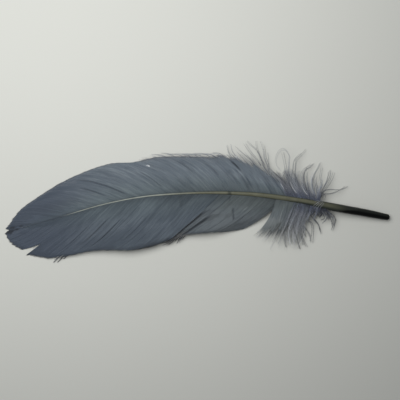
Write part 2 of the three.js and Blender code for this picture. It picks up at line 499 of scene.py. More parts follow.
def spreadNumbers(rows, spacing):
    # places along the guides, even by the mean of root and tip spacing
    fine = np.linspace(0, len(rows) - 1, 1200)
    read = readSpline(rows, fine)
    rootStep = np.abs(np.diff(read[:, 0]))
    tipStep = np.linalg.norm(np.diff(read[:, 1:3], axis=0), axis=-1)
    travel = np.concatenate([[0], np.cumsum(0.6 * rootStep + 0.4 * tipStep)])
    count = int(round(travel[-1] / spacing))
    return np.interp((np.arange(count) + 0.5) / count * travel[-1], travel, fine)


def groupSwing(random, count, sizes):
    # where each barb stands in its group, from -1 to 1, and one number for the whole group
    phase, level = np.zeros(count), np.zeros(count)
    start = 0
    while start < count:
        stop = min(count, start + int(random.integers(*sizes)))
        phase[start:stop] = np.linspace(-1, 1, stop - start)
        level[start:stop] = random.uniform(-1, 1)
        start = stop
    return phase, level


def clumpNumbers(random, count, sizes):
    marks = np.zeros(count, int)
    starts = np.cumsum(random.integers(*sizes, count))
    marks[starts[starts < count]] = 1
    return np.cumsum(marks)


def clumpMeans(curves, clump):
    sums = np.zeros((clump.max() + 1, *curves.shape[1:]))
    np.add.at(sums, clump, curves)
    return (sums / np.bincount(clump)[:, None, None])[clump]


def nearRoot(roots, place, reach):
    return np.exp(-((roots - place) / reach) ** 2)


def leavingWay(degrees, side):
    # direction in plan, turned away from the way to the feather's tip
    angle = np.radians(degrees)
    return np.stack([-np.cos(angle), side * np.sin(angle)], axis=-1)


def bentCurves(roots, tips, leave, end, side, handle, v, fall):
    # from each root to its tip, at the leaving and ending angles; fall is how far its height has come
    reach = handle * np.linalg.norm((tips - roots)[:, :2], axis=-1)[:, None]
    first, last = roots[:, None, :2], tips[:, None, :2]
    second = first + (reach * leavingWay(leave, side))[:, None]
    third = last - (reach * leavingWay(end, side))[:, None]
    flat = bezier(first, second, third, last, v[..., None])
    z = roots[:, None, 2] + (tips[:, None, 2] - roots[:, None, 2]) * fall
    return np.concatenate([flat, z[..., None]], axis=-1)


def creaseMarks(creases, curves):
    # creases cross the barbs: x and y of both ends, width and depth
    mark = np.zeros(curves.shape[:2])
    for x1, y1, x2, y2, width, depth in creases:
        run = np.array([x2 - x1, y2 - y1])
        offset = curves[..., :2] - np.array([x1, y1])
        part = (offset @ run) / (run @ run)
        away = np.linalg.norm(offset - np.clip(part, 0, 1)[..., None] * run, axis=-1)
        mark = mark + depth * np.exp(-(away / width) ** 2)
    return mark


def vaneTone(plan, random, rootX, v, level, mark):
    count, rings = v.shape
    tone = sum(share * mottle(random, count, rings, across, along)
               for share, across, along in plan["toneClouds"])
    tone = tone + plan["barbTone"] * random.uniform(-1, 1, (count, 1)) + plan["groupTone"] * level[:, None]
    tone = tone + plan["grainTone"] * random.uniform(-1, 1, (count, rings))
    # creases get painted shade in their tone
    tone = plan["toneLift"] + plan["toneSpread"] * tone + plan["creaseShadeTone"] * mark
    # streaks of darker or lighter tone; some dark ones, along partings, creases and the curled lower edge,
    # are painted shade, the rest are the vane's own tone. Columns: root x, reach along the shaft, start,
    # end and tone
    for place, reach, begin, end, amount in plan["toneAndShadeStreaks"]:
        strip = between(begin, end, 0.12, v)
        tone = tone + amount * nearRoot(rootX, place, reach)[:, None] * strip
    return tone


def barbExtents(plan, random, rootX, zipped, phase, span):
    # where each barb ends, in parts of the way to its tip
    count = len(rootX)
    shortest, longest = plan["looseLength"]
    looseLength = shortest + (longest - shortest) * random.uniform(0, 1, count) ** plan["looseBias"]
    ragged = plan["edgeJitter"] * random.uniform(-1, 1, count) + plan["edgeGroups"] * (0.5 - np.abs(phase))
    # tufts: root x, reach along the shaft, and extra length
    for place, reach, extra in plan["tufts"]:
        ragged = ragged + extra * nearRoot(rootX, place, reach)
    return zipped + (1 - zipped) * looseLength + ragged / span


def partBarbs(plan, curves, v, rootX, toRear):
    # partings: root x, start, end, opening, step down to the rear, and reach along the shaft
    for place, begin, end, opening, step, reach in plan["partings"]:
        opened = np.clip((v - begin) / (1 - begin), 0, 1) if end >= 1 else between(begin, end, 0.15, v)
        near = np.exp(-np.abs(rootX - place) / reach)[:, None] * np.where(rootX > place, 1.0, -1.0)[:, None]
        curves = curves + toRear * (0.5 * opening * opened * near)[..., None]
        curves[..., 2] -= 0.5 * step * opened * near
    # lifts: root x, reach along the shaft, start, and height
    for place, reach, begin, height in plan["lifts"]:
        raised = nearRoot(rootX, place, reach)[:, None] * smoothStep(begin, begin + 0.3, v)
        curves[..., 2] += height * raised
    return curves


def loosenBarbs(plan, random, curves, v, zipped, toRear):
    # past the zipped part, barbs lean together in clumps, wander and lift
    count = len(curves)
    free = np.clip((v - zipped) / (1.001 - zipped), 0, 1) * (zipped < 0.995)
    clump = clumpNumbers(random, count, plan["clumpSizes"])
    curves = curves + (clumpMeans(curves, clump) - curves) * (plan["clumping"] * free**0.7)[..., None]
    lean = (random.normal(0, 1, count)[clump] + random.normal(0, 0.3, count))[:, None]
    turn = random.uniform(0, 6.3, count)[clump][:, None]
    turn = turn + random.uniform(2, 5, count)[clump][:, None] * free
    swing = plan["looseSwing"] * (lean + 0.8 * np.sin(turn) * free) * free
    swing = swing * np.minimum(1.0, 1.6 * (1 - zipped))
    curves = curves + toRear * swing[..., None]
    curves[..., 2] += plan["looseLift"] * free * random.uniform(-0.4, 1.0, count)[clump][:, None]
    return curves


def vaneSheet(plan):
    # guides: root x, tip x, y, z, leaving and ending angle, and the part of the barb that is zipped
    random = np.random.default_rng(plan["seed"])
    read = readSpline(plan["guides"], spreadNumbers(plan["guides"], plan["spacing"]))
    count, rings, side = len(read), plan["rings"], plan["side"]
    rootX, tips = read[:, 0], read[:, 1:4]
    zipped = read[:, 6] + plan["zipJitter"] * random.uniform(-1, 1, count) * (read[:, 6] < 0.92)
    zipped = np.clip(zipped, 0.2, 1.0)[:, None]
    roots = rootsAt(rootX, np.full(count, float(side)), plan["rootOut"], plan["rootRise"])
    phase, level = groupSwing(random, count, plan["groupSizes"])
    span = np.linalg.norm(tips - roots, axis=-1)
    extent = barbExtents(plan, random, rootX, zipped[:, 0], phase, span)
    v = np.linspace(0, 1, rings)[None] * extent[:, None]
    fall = np.clip(v, 0, 1.05) ** np.linspace(*plan["droop"], count)[:, None]
    curves = bentCurves(roots, tips, read[:, 4], read[:, 5], side, plan["handle"], v, fall)
    spread = np.gradient(curves, axis=0)
    upward, sideways = curveFrame(curves, spread)
    gap = (spread * sideways).sum(-1)
    toRear = sideways * np.sign(gap)[..., None]

    # zipped barbs reach their neighbours, loose ends are thin
    looseness = smoothStep(zipped - 0.05, zipped + plan["narrowing"], v) * (zipped < 0.995)
    halfWidth = np.maximum(0.5 * np.abs(gap) * plan["overlap"], plan["leastHalf"])
    halfWidth = halfWidth * (1 - looseness) + plan["looseHalf"] * looseness
    halfWidth = halfWidth * (1 - 0.9 * smoothStep(plan["taperFrom"], 1.0, v / extent[:, None]) ** 1.5)

    # partings, dents and relief of the zipped part, then wander of the loose ends
    curves = partBarbs(plan, curves, v, rootX, toRear)
    mark = creaseMarks(plan["creases"], curves)
    curves[..., 2] -= plan["creaseDepth"] * mark
    curves[..., 2] += plan["groupStep"] * phase[:, None] * smoothStep(0.08, 0.6, v)
    curves[..., 2] += plan["wave"] * mottle(random, count, rings, 34, 13) * smoothStep(0.0, 0.3, v)
    curves[..., 2] -= plan["edgeDrop"] * smoothStep(0.9, 1.0, v / zipped) * (1 - looseness)
    curves = loosenBarbs(plan, random, curves, v, zipped, toRear)
    curves[..., 2] = np.maximum(curves[..., 2], restGap + 0.1)

    tone = vaneTone(plan, random, rootX, v, level, mark)
    tilt = np.radians(plan["tilt"]) * random.uniform(-1, 1, count)
    values = {"tone": tone, "along": np.clip(v / np.maximum(zipped, 0.02), 0, 1), "loose": looseness}
    values["warmth"] = np.full_like(v, plan["warmth"])
    part = barbPart(curves, halfWidth, sideways, upward, tilt, values)
    return {"part": part, "curves": curves, "ends": looseEnds(curves, v, zipped[:, 0])}


def looseEnds(curves, v, zipped):
    # the part of each barb past its zipped part, as a curve of its own
    ends = []
    for curve, steps, start in zip(curves, v, zipped):
        if start < 0.9 and steps[-1] - start > 0.06:
            ends.append(readLine(np.linspace(start, steps[-1], 16), steps, curve))
    return np.array(ends)


vaneShape = {
    "spacing": 0.40,  # mm from barb to barb
    "rings": 28,
    "rootOut": 0.62,  # parts of the shaft's radius
    "rootRise": 0.42,
    "handle": 0.36,
    "droop": (1.4, 1.4),  # how late the barbs fall, first and last barb
    "overlap": 1.3,
    "leastHalf": 0.03,
    "taperFrom": 0.95,
    "groupSizes": (5, 18),
    "groupStep": 0.07,
    "wave": 0.16,
    "tilt": 6,
    "edgeDrop": 0.25,
    "edgeJitter": 0.26,
    "edgeGroups": 0.45,
    "looseLength": (0.3, 1.08),
    "looseBias": 1.2,
    "looseHalf": 0.055,
    "looseSwing": 0.7,
    "looseLift": 1.2,
    "zipJitter": 0.08,
    "narrowing": 0.05,
    "clumpSizes": (2, 4),
    "clumping": 0.3,
    "toneClouds": [(0.28, 28, 9), (0.34, 5, 11), (0.6, 1.6, 3.5)],  # share, barbs and rings to a turn
    "barbTone": 0.42,
    "groupTone": 0.12,
    "grainTone": 0.14,
    "toneSpread": 0.75,
    "toneLift": 0.0,
    "warmth": 0.0,
    "creaseDepth": 0.3,
    "creaseShadeTone": -1.6,
    "partings": [],
    "lifts": [],
    "creases": [],
    "tufts": [],
    "toneAndShadeStreaks": [],
}

upperVane = dict(vaneShape, seed=11, side=1, toneSpread=0.92, clumping=0.15, looseLength=(0.1, 0.75),
                 looseHalf=0.04, guides=[
    (-78.6, -88.6, -13.2, 0.2, -10, -10, 1),
    (-77.4, -89.6, -12.4, 0.2, -8, -10, 1),
    (-75, -88.1, -10.9, 0.2, -6, -18, 1),
    (-68, -86.6, -8.2, 0.2, -2, -24, 1),
    (-58, -83.0, -3.8, 0.2, 5, -26, 1),
    (-48, -77.8, 0.2, 0.2, 12, -24, 1),
    (-38, -71.2, 4.6, 0.2, 18, -20, 1),
    (-29, -63.6, 9.2, 0.1, 23, -14, 1),
    (-20, -51.5, 14.7, 0, 29, -6, 1),
    (-12, -40.5, 18.0, 0, 35, 1, 1),
    (-4, -30.5, 18.6, 0, 40, 5, 1),
    (4, -20.5, 21.1, 0, 46, 10, 0.97),
    (12, -9.5, 21.6, 0, 53, 12, 0.95),
    (20, 1.5, 21.5, 0.5, 59, 16, 0.93),
    (25, 8.0, 22.1, 1, 62, 24, 0.9),
    (28, 11.6, 23.9, 1.2, 64, 38, 0.8),
    (31, 14.0, 25.8, 1.4, 65, 50, 0.7),
    (35, 18.5, 26.4, 1.4, 66, 56, 0.58),
    (39, 23.0, 27.2, 1.4, 63, 68, 0.46),
    (42, 26.6, 27.8, 1.4, 59, 82, 0.36),
    (45, 29.6, 27.6, 1.6, 54, 96, 0.25),
    (47.5, 31.2, 22.0, 2.2, 51, 94, 0.2),
    (49.5, 33.2, 15.5, 3.0, 50, 88, 0.2),
], partings=[
    (-29.1, 0.05, 0.85, 0.10, 0.40, 2.5),
    (-36.0, 0.20, 0.62, 0.12, 0.45, 2.0),
    (-12.0, 0.10, 0.60, 0.10, 0.35, 2.2),
    (7.0, 0.35, 0.80, 0.12, 0.40, 2.2),
    (-3.0, 0.45, 0.90, 0.05, 0.25, 2.0),
    (15.5, 0.30, 0.75, 0.05, 0.25, 2.0),
    (26.4, 0.40, 0.82, 0.10, 0.80, 2.5),
    (-64.0, 0.45, 1.0, 0.05, 0.25, 1.5),
    (-73.5, 0.40, 1.0, 0.05, 0.30, 1.2),
], tufts=[(-77.3, 0.4, 0.4), (-75.0, 0.5, 0.35), (-72.0, 0.8, 0.3)], creases=[
    (-90.0, -12.9, -86.0, -12.0, 0.9, 1.5), (-87.0, -12.2, -82.0, -11.2, 0.6, 1.0),
    (-83.0, -11.4, -78.0, -10.5, 0.4, 0.7),
], toneAndShadeStreaks=[
    (-29.1, 0.45, 0.02, 0.80, -1.5), (-27.0, 1.6, 0.10, 0.80, 0.5), (-36.0, 0.4, 0.15, 0.60, -1.4),
    (-38.2, 1.2, 0.15, 0.60, 0.4), (-12.0, 0.4, 0.12, 0.60, -1.2), (-10.0, 1.4, 0.20, 0.60, 0.4),
    (7.0, 0.45, 0.35, 0.80, -1.1), (-3.0, 0.4, 0.45, 0.90, -0.8), (15.5, 0.4, 0.30, 0.75, -0.8),
    (26.6, 0.45, 0.44, 0.80, -3.6), (26.6, 0.8, 0.05, 0.46, -1.1), (24.8, 0.5, 0.05, 0.62, -1.1),
    (-64.0, 0.8, 0.45, 1.0, -0.6), (25.7, 0.4, 0.15, 0.60, 0.9), (22.8, 0.4, 0.2, 0.5, 0.7),
    (31.0, 1.2, 0.12, 0.45, 0.7), (35.0, 1.3, -0.1, 0.28, -0.9), (38.6, 0.7, 0.05, 0.45, 0.9),
    (40.4, 0.4, 0.0, 0.4, -1.6), (42.0, 0.4, 0.05, 0.35, 1.3), (43.5, 0.5, 0.0, 0.4, -1.4),
    (33.0, 0.8, 0.40, 0.62, -0.6), (29.2, 0.6, 0.35, 0.80, 0.5), (20.0, 0.5, 0.3, 0.9, -0.7),
])

# lower vanes are lower in tone, partly their own darker colour and partly painted shade for their slope
# away from the light
lowerShape = dict(vaneShape, tilt=2, groupStep=0.025, wave=0.08, toneSpread=0.52, toneLift=-0.83)

lowerTipVane = dict(lowerShape, seed=23, side=-1, edgeDrop=0.15, droop=(0.95, 0.95), guides=[
    (-78.6, -88.5, -13.2, 0.2, 9, 9, 1),
    (-77.6, -89.5, -14.5, 0.2, 14, 12, 1),
    (-76, -89.2, -15.9, 0.2, 20, 12, 1),
    (-73, -88.8, -17.4, 0.2, 25, 13, 1),
    (-66, -87.3, -19.2, 0.2, 30, 14, 1),
    (-58, -84.8, -21.2, 0.2, 34, 15, 1),
    (-51.5, -81.4, -23.2, 0.3, 37, 20, 1),
    (-49, -80.0, -23.9, 0.4, 38, 30, 1),
    (-42.5, -72, -26.2, 0.8, 41, 34, 1),
    (-36, -65.4, -26.1, 1.3, 43, 31, 1),
    (-29, -58.5, -24.9, 1.9, 44, 29, 1),
    (-21, -50, -23.1, 2.8, 45, 27, 1),
    (-13, -41, -22.6, 3.5, 46, 27, 1),
    (-5, -31.5, -22.7, 4.0, 48, 29, 1),
    (3, -20.5, -20.7, 4.0, 47, 34, 1),
    (11, -12.6, -17.4, 3.5, 44, 41, 1),
], partings=[
    (-50.2, 0.74, 1.0, 3.2, 0.0, 3.2),
    (-36.6, 0.90, 1.0, 0.7, 0.0, 0.5),
    (-35.0, 0.90, 1.0, 0.8, 0.0, 0.5),
    (-26.0, 0.35, 0.85, 0.10, 0.45, 2.0),
    (-33.0, 0.25, 0.75, 0.10, 0.40, 2.0),
    (-39.5, 0.35, 0.80, 0.08, 0.30, 1.6),
    (-14.0, 0.30, 0.80, 0.05, 0.20, 2.0),
    (-72.0, 0.55, 1.0, 0.05, 0.25, 1.4),
], lifts=[(11.0, 1.6, 0.28, 0.95), (3.0, 5.0, 0.8, -0.5)], toneAndShadeStreaks=[
    (2.0, 7.0, 0.86, 1.3, -2.6), (-18.0, 8.0, 0.5, 1.3, -0.5), (-32.0, 6.0, 0.6, 1.3, -0.4),
    (-26.0, 0.4, 0.30, 0.85, -0.7), (-33.0, 0.4, 0.25, 0.75, -0.6), (-39.5, 0.4, 0.35, 0.80, -0.5),
    (-14.0, 0.4, 0.30, 0.80, -0.4), (-29.5, 0.4, 0.35, 0.85, -0.5), (10.2, 0.5, 0.1, 0.3, -0.8),
], tufts=[
    (-35.8, 0.35, 2.4), (-34.2, 0.3, 2.0), (-48.8, 0.7, 0.5), (-51.3, 1.0, 0.3), (-77.4, 0.4, 0.3),
], creases=[
    (-7.5, 2.6, -7.1, -1.6, 0.35, 0.5), (-90.0, -13.6, -87.5, -14.4, 1.3, 1.6),
    (-88.0, -13.8, -84.0, -12.9, 0.8, 1.0), (-84.5, -12.9, -80.0, -11.9, 0.5, 0.6),
])

lowerStrip = dict(lowerShape, seed=29, side=-1, warmth=0.8, guides=[
    (11.15, -14.4, -19.2, 2.6, 44, 41, 0.88),
    (13.8, -13.2, -18.9, 2.4, 45, 40, 0.86),
    (16.2, -11.6, -18.4, 2.3, 45, 38, 0.86),
], lifts=[(14, 6, 0.3, -0.45)], toneAndShadeStreaks=[
    (11.8, 0.65, 0.30, 0.95, -3.2), (13.7, 0.6, 0.3, 0.9, 1.3), (15.6, 0.4, 0.3, 0.8, 0.7),
], looseLength=(0.3, 1.2))

lowerRearVane = dict(lowerShape, seed=47, side=-1, droop=(1.3, 0.55), rings=46, toneLift=-0.45,
                     warmth=1.0, guides=[
    (16.2, -10.2, -17.6, 3.0, 45, 38, 0.9),
    (19.5, -4.8, -15.8, 3.6, 46, 32, 0.97),
    (23.5, 0.5, -14.9, 4.0, 47, 27, 1),
    (29, 7, -14.4, 3.6, 48, 25, 1),
    (35, 14, -13.9, 1.8, 44, 25, 1),
    (40.5, 20.5, -13, 0.6, 38, 24, 1),
], partings=[(31.0, 0.2, 0.7, 0.05, 0.2, 2.0)], lifts=[(16.6, 5.0, 0.4, -1.0)], creases=[
    (16.4, -3.3, 16.9, -8.0, 0.33, 0.8), (14.8, 3.0, 14.9, 0.8, 0.4, 0.5),
], toneAndShadeStreaks=[
    (20.0, 6.0, 0.86, 1.3, -1.8), (30.5, 0.3, 0.2, 0.5, 0.9), (27.6, 0.22, 0.18, 0.38, 2.0),
    (17.0, 0.6, 0.42, 0.97, -3.0),
])

lowerSoftVane = dict(lowerShape, seed=53, side=-1, spacing=0.32, looseHalf=0.045, looseLength=(0.3, 1.1),
                     looseBias=0.9, looseSwing=0.15, wave=0.3, zipJitter=0.12, narrowing=0.3,
                     taperFrom=0.6, clumpSizes=(1, 2), clumping=0.0, toneLift=0.75, toneSpread=0.9,
                     warmth=1.0, guides=[
    (36.4, 25.4, -15.3, 1.6, 75, 30, 0.93),
    (39.0, 28.8, -17.8, 1.4, 74, 42, 0.72),
    (42, 32.5, -20.4, 1.2, 75, 56, 0.58),
    (45, 36.5, -22.4, 1.1, 77, 70, 0.46),
    (47.5, 40.5, -22.0, 1.1, 80, 84, 0.36),
    (50, 44.5, -20.0, 1.1, 84, 94, 0.30),
    (52, 48.0, -15.5, 1.2, 88, 102, 0.3),
], toneAndShadeStreaks=[
    (51.5, 2.2, -0.1, 1.2, -1.3), (46.5, 3.2, -0.1, 0.6, -1.4), (37.5, 3.5, 0.4, 1.3, 1.2),
    (38.5, 6.0, -0.1, 0.45, -0.8),
])


# down: loose plumes, each a fine stem with barbules as closed spikes

plumeShape = {
    "rings": 24,
    "stemRadius": (0.045, 0.015),  # mm, at the root and at the tip
    "barbuleEvery": 0.15,  # mm along each side
    "barbuleLength": (0.35, 0.9),
    "barbuleRadius": 0.014,
    "barbuleAngle": (32, 60),
    "facing": np.array([0.31, 0.2, 0.93]),  # any way that no stem runs along
    "bareRoot": 0.04,
    "handle": 0.4,  # how far a bend's handles reach, in parts of the way from root to tip
    "tone": (-1.0, 1.0),
    "outStart": 0.0,  # how far out of the shaft the curve begins, mm
    "bundle": 1,  # strands that run together along one line
    "bundleSpread": 0.0,
}


def stemPart(curves, plan, tone):
    rings = curves.shape[1]
    upward, sideways = curveFrame(curves, np.broadcast_to(plan["facing"], curves.shape))
    turns = np.radians([90, 210, 330])
    ring = upward[:, :, None] * np.sin(turns)[:, None] - sideways[:, :, None] * np.cos(turns)[:, None]
    points = curves[:, :, None] + ring * np.linspace(*plan["stemRadius"], rings)[None, :, None, None]
    out = plan["outStart"] + np.cumsum(np.linalg.norm(np.gradient(curves, axis=1), axis=-1), axis=1)
    values = {"tone": tone[:, None, None], "out": out[:, :, None]}
    return tubePart(points, 0.12 * np.array([-1.0, 0.0, 1.0]), values, turned=True)


def barbulePart(curves, plan, tone, random):
    found = []
    for index, curve in enumerate(curves):
        travel = travelAlong(curve)
        spots = np.arange(plan["bareRoot"] * travel[-1], travel[-1], plan["barbuleEvery"])
        spots = np.repeat(spots, 2) + random.uniform(0, plan["barbuleEvery"], len(spots) * 2)
        spots = np.clip(spots, 0, travel[-1])
        base = readLine(spots, travel, curve)
        forward = unit(readLine(spots, travel, unit(np.gradient(curve, axis=0))))
        sign = np.tile([-1.0, 1.0], len(spots) // 2)
        owner = np.full(len(spots), index)
        found.append(np.column_stack([base, forward, sign, spots / travel[-1], spots, owner]))
    found = np.concatenate(found)
    base, forward, sign = found[:, :3], found[:, 3:6], found[:, 6:7]
    part, spot, owner = found[:, 7], found[:, 8], found[:, 9].astype(int)
    count = len(base)
    side = unit(np.cross([0, 0, 1.0], forward))
    above = np.cross(forward, side)
    roll = np.radians(random.normal(0, 30, (count, 1)))
    angle = np.radians(random.uniform(*plan["barbuleAngle"], (count, 1)))
    lateral = side * (sign * np.cos(roll)) + above * np.sin(roll)
    way = unit(forward * np.cos(angle) + lateral * np.sin(angle))
    swell = (0.4 + 0.6 * smoothStep(0.0, 0.2, part)) * (1 - 0.6 * smoothStep(0.5, 1.0, part))
    length = random.uniform(*plan["barbuleLength"], count) * swell
    first = unit(np.cross(way, forward))
    second = np.cross(way, first)
    turns = np.radians([0, 120, 240])
    rim = first[:, None] * np.cos(turns)[:, None] + second[:, None] * np.sin(turns)[:, None]
    rim = base[:, None] + rim * plan["barbuleRadius"]
    apex = base + way * length[:, None]
    points = np.concatenate([rim, apex[:, None]], axis=1)
    points[..., 2] = np.maximum(points[..., 2], restGap / 2)
    head = np.arange(count)[:, None] * 4
    faces = np.concatenate([head + np.array(k)[None] for k in ([0, 1, 3], [1, 2, 3], [2, 0, 3], [2, 1, 0])])
    u = (owner + 0.5) / (owner.max() + 1)
    width = 0.3 / (owner.max() + 1)
    v = np.clip(part * 0.98 + 0.005, 0, 1)
    uv = np.stack([np.stack([u + du, v + dv], axis=-1)
                   for du, dv in ((-width, 0), (width, 0), (0, 0.006), (0, 0.012))], axis=1).reshape(-1, 2)
    return {
        "points": points.reshape(-1, 3),
        "faces": [(faces, uv[faces])],
        "values": {"tone": np.repeat(tone[owner], 4), "out": np.repeat(plan["outStart"] + spot, 4)},
    }


def plumeParts(curves, plan, random):
    curves = curves.copy()
    curves[..., 2] = np.maximum(curves[..., 2], restGap)
    tone = random.uniform(*plan["tone"], len(curves))
    return [stemPart(curves, plan, tone), barbulePart(curves, plan, tone, random)]


def plumeCurves(plan, random):
    # guides: root x, tip x, y, z, leaving and ending angle; neighbours lean together in clumps
    count, side = plan["count"], plan["side"]
    last = len(plan["guides"]) - 1
    numbers = np.clip((np.arange(count) + 0.5) / count * last + random.normal(0, 0.1, count), 0, last)
    clump = np.sort(random.integers(0, max(1, int(count / plan["clumpSize"])), count))
    lead = np.array([numbers[clump == k].mean() for k in clump])
    own, shared = readSpline(plan["guides"], numbers), readSpline(plan["guides"], lead)
    clumps = clump.max() + 1
    outward, rise = random.uniform(0.3, 0.8, count), random.uniform(0.0, 0.6, count)
    roots = rootsAt(own[:, 0], np.full(count, float(side)), outward, rise)
    short = random.uniform(*plan["lengths"], clumps)[clump] * random.uniform(0.85, 1.0, count)
    tips = roots + (shared[:, 1:4] - roots) * short[:, None]
    tips[:, :2] += random.normal(0, plan["stray"], (clumps, 2))[clump]
    tips[:, :2] += random.normal(0, plan["spread"], (count, 2))
    tips[:, 2] = shared[:, 3] + random.uniform(*plan["tipRise"], clumps)[clump]
    tips[:, 2] += random.uniform(0, 0.5, count)
    leave = own[:, 4] + random.normal(0, plan["turn"], count)
    end = shared[:, 5] + random.normal(0, plan["turn"] * 2.4, clumps)[clump] + random.normal(0, 5, count)
    v = np.broadcast_to(np.linspace(0, 1, plan["rings"])[None], (count, plan["rings"]))
    curves = bentCurves(roots, tips, leave, end, side, plan["handle"], v, v**1.3)
    curves[..., 2] += random.uniform(*plan["arch"], (clumps, 1))[clump] * 4 * v * (1 - v)
    along = unit(np.gradient(curves, axis=1))
    across = unit(np.cross(along, [0, 0, 1.0]))
    phase = random.uniform(0, 6.3, (clumps, 1))[clump] + random.uniform(0, 0.8, (count, 1))
    waves = random.uniform(3, 9, (clumps, 1))[clump]
    swing = np.sin(phase + waves * v) * smoothStep(0.1, 0.8, v) * plan["swing"]
    return curves + across * (swing * random.uniform(0.3, 1, (clumps, 1))[clump])[..., None]


upperFluff = dict(plumeShape, seed=61, side=1, count=78, tone=(-1.4, 1.8), clumpSize=3,
                  lengths=(0.45, 1.05), stray=0.8, spread=0.35, turn=9, tipRise=(0.5, 3.0),
                  arch=(0.0, 1.6), swing=0.5, barbuleLength=(0.6, 1.25), barbuleEvery=0.13, guides=[
    (42, 36.5, 12.0, 2.0, 50, 58),
    (45, 39.0, 14.0, 1.8, 56, 66),
    (48, 42.5, 14.0, 1.6, 64, 78),
    (51, 46.5, 12.5, 1.6, 74, 90),
    (54, 50.5, 8.0, 1.4, 82, 98),
    (55.5, 53.0, 4.5, 1.4, 92, 110),
])

upperClump = dict(plumeShape, seed=157, side=1, count=60, clumpSize=2.5, lengths=(0.85, 1.08), stray=0.9,
                  spread=0.5, turn=8, tipRise=(0.4, 2.2), arch=(0.2, 1.4), swing=0.6, tone=(-1.8, 1.4),
                  barbuleLength=(0.7, 1.4), barbuleEvery=0.13, guides=[
    (41.5, 35.6, 13.0, 1.8, 50, 62),
    (44, 38.0, 14.6, 1.7, 56, 74),
    (46.5, 41.2, 14.6, 1.6, 62, 84),
    (49.5, 45.6, 14.0, 1.6, 70, 92),
])

upperPlumes = dict(plumeShape, seed=67, side=1, count=38, clumpSize=2.4, lengths=(0.45, 1.0), stray=1.4,
                   spread=0.5, turn=9, tipRise=(0.0, 2.5), arch=(0.0, 2.0), swing=1.2,
                   stemRadius=(0.07, 0.03), barbuleRadius=0.018, barbuleLength=(0.45, 1.1),
                   tone=(0.0, 2.4), guides=[
    (45, 34.5, 19.0, 1.4, 58, 70),
    (48, 40.0, 20.0, 1.2, 66, 84),
    (51, 46.0, 20.0, 1.2, 76, 96),
    (53.5, 51.5, 17.5, 1.2, 84, 108),
    (55.5, 56.0, 13.0, 1.2, 94, 118),
    (56.2, 58.0, 8.5, 1.2, 98, 124),
])

lowerFluff = dict(plumeShape, seed=71, side=-1, count=50, tone=(-1.8, 0.0), clumpSize=3,
                  lengths=(0.4, 1.0), stray=0.6, spread=0.35, turn=8, tipRise=(0.3, 2.0), arch=(0.0, 1.2),
                  swing=0.4, barbuleLength=(0.55, 1.1), barbuleEvery=0.14, guides=[
    (46, 39.5, -11.0, 2.0, 60, 68),
    (49, 43.0, -10.0, 1.8, 68, 80),
    (52, 47.0, -9.0, 1.6, 80, 96),
    (55, 52.0, -7.5, 1.5, 94, 112),
    (58, 56.0, -6.0, 1.4, 104, 124),
    (60, 59.6, -4.6, 1.4, 112, 134),
])

lowerPlumes = dict(plumeShape, seed=73, side=-1, count=74, clumpSize=2.6, lengths=(0.65, 1.08), stray=0.9,
                   spread=0.4, turn=7, tipRise=(0.0, 1.6), arch=(0.0, 1.2), swing=1.2,
                   stemRadius=(0.06, 0.025), barbuleRadius=0.016, barbuleLength=(0.45, 1.0),
                   tone=(-1.2, 1.0), guides=[
    (45, 38.5, -19.5, 1.4, 66, 80),
    (47.5, 42.5, -21.5, 1.2, 76, 94),
    (50, 47.0, -21.0, 1.1, 84, 104),
    (52.5, 50.5, -15.0, 1.1, 94, 118),
    (55, 54.5, -10.0, 1.1, 106, 130),
    (57, 57.5, -7.0, 1.2, 114, 136),
])

# a haze of fine ends around the lower edge of the down
lowerHaze = dict(plumeShape, seed=163, side=-1, count=34, clumpSize=2.2, lengths=(0.82, 1.06), stray=0.8,
                 spread=0.5, turn=7, tipRise=(0.0, 1.2), arch=(0.0, 1.0), swing=0.8,
                 stemRadius=(0.05, 0.025), barbuleRadius=0.016, barbuleLength=(0.6, 1.4),
                 tone=(0.0, 2.2), guides=[
    (46.5, 41.0, -20.0, 1.2, 74, 90),
    (48.5, 44.0, -21.5, 1.1, 80, 98),
    (50.0, 46.5, -21.0, 1.1, 84, 104),
])


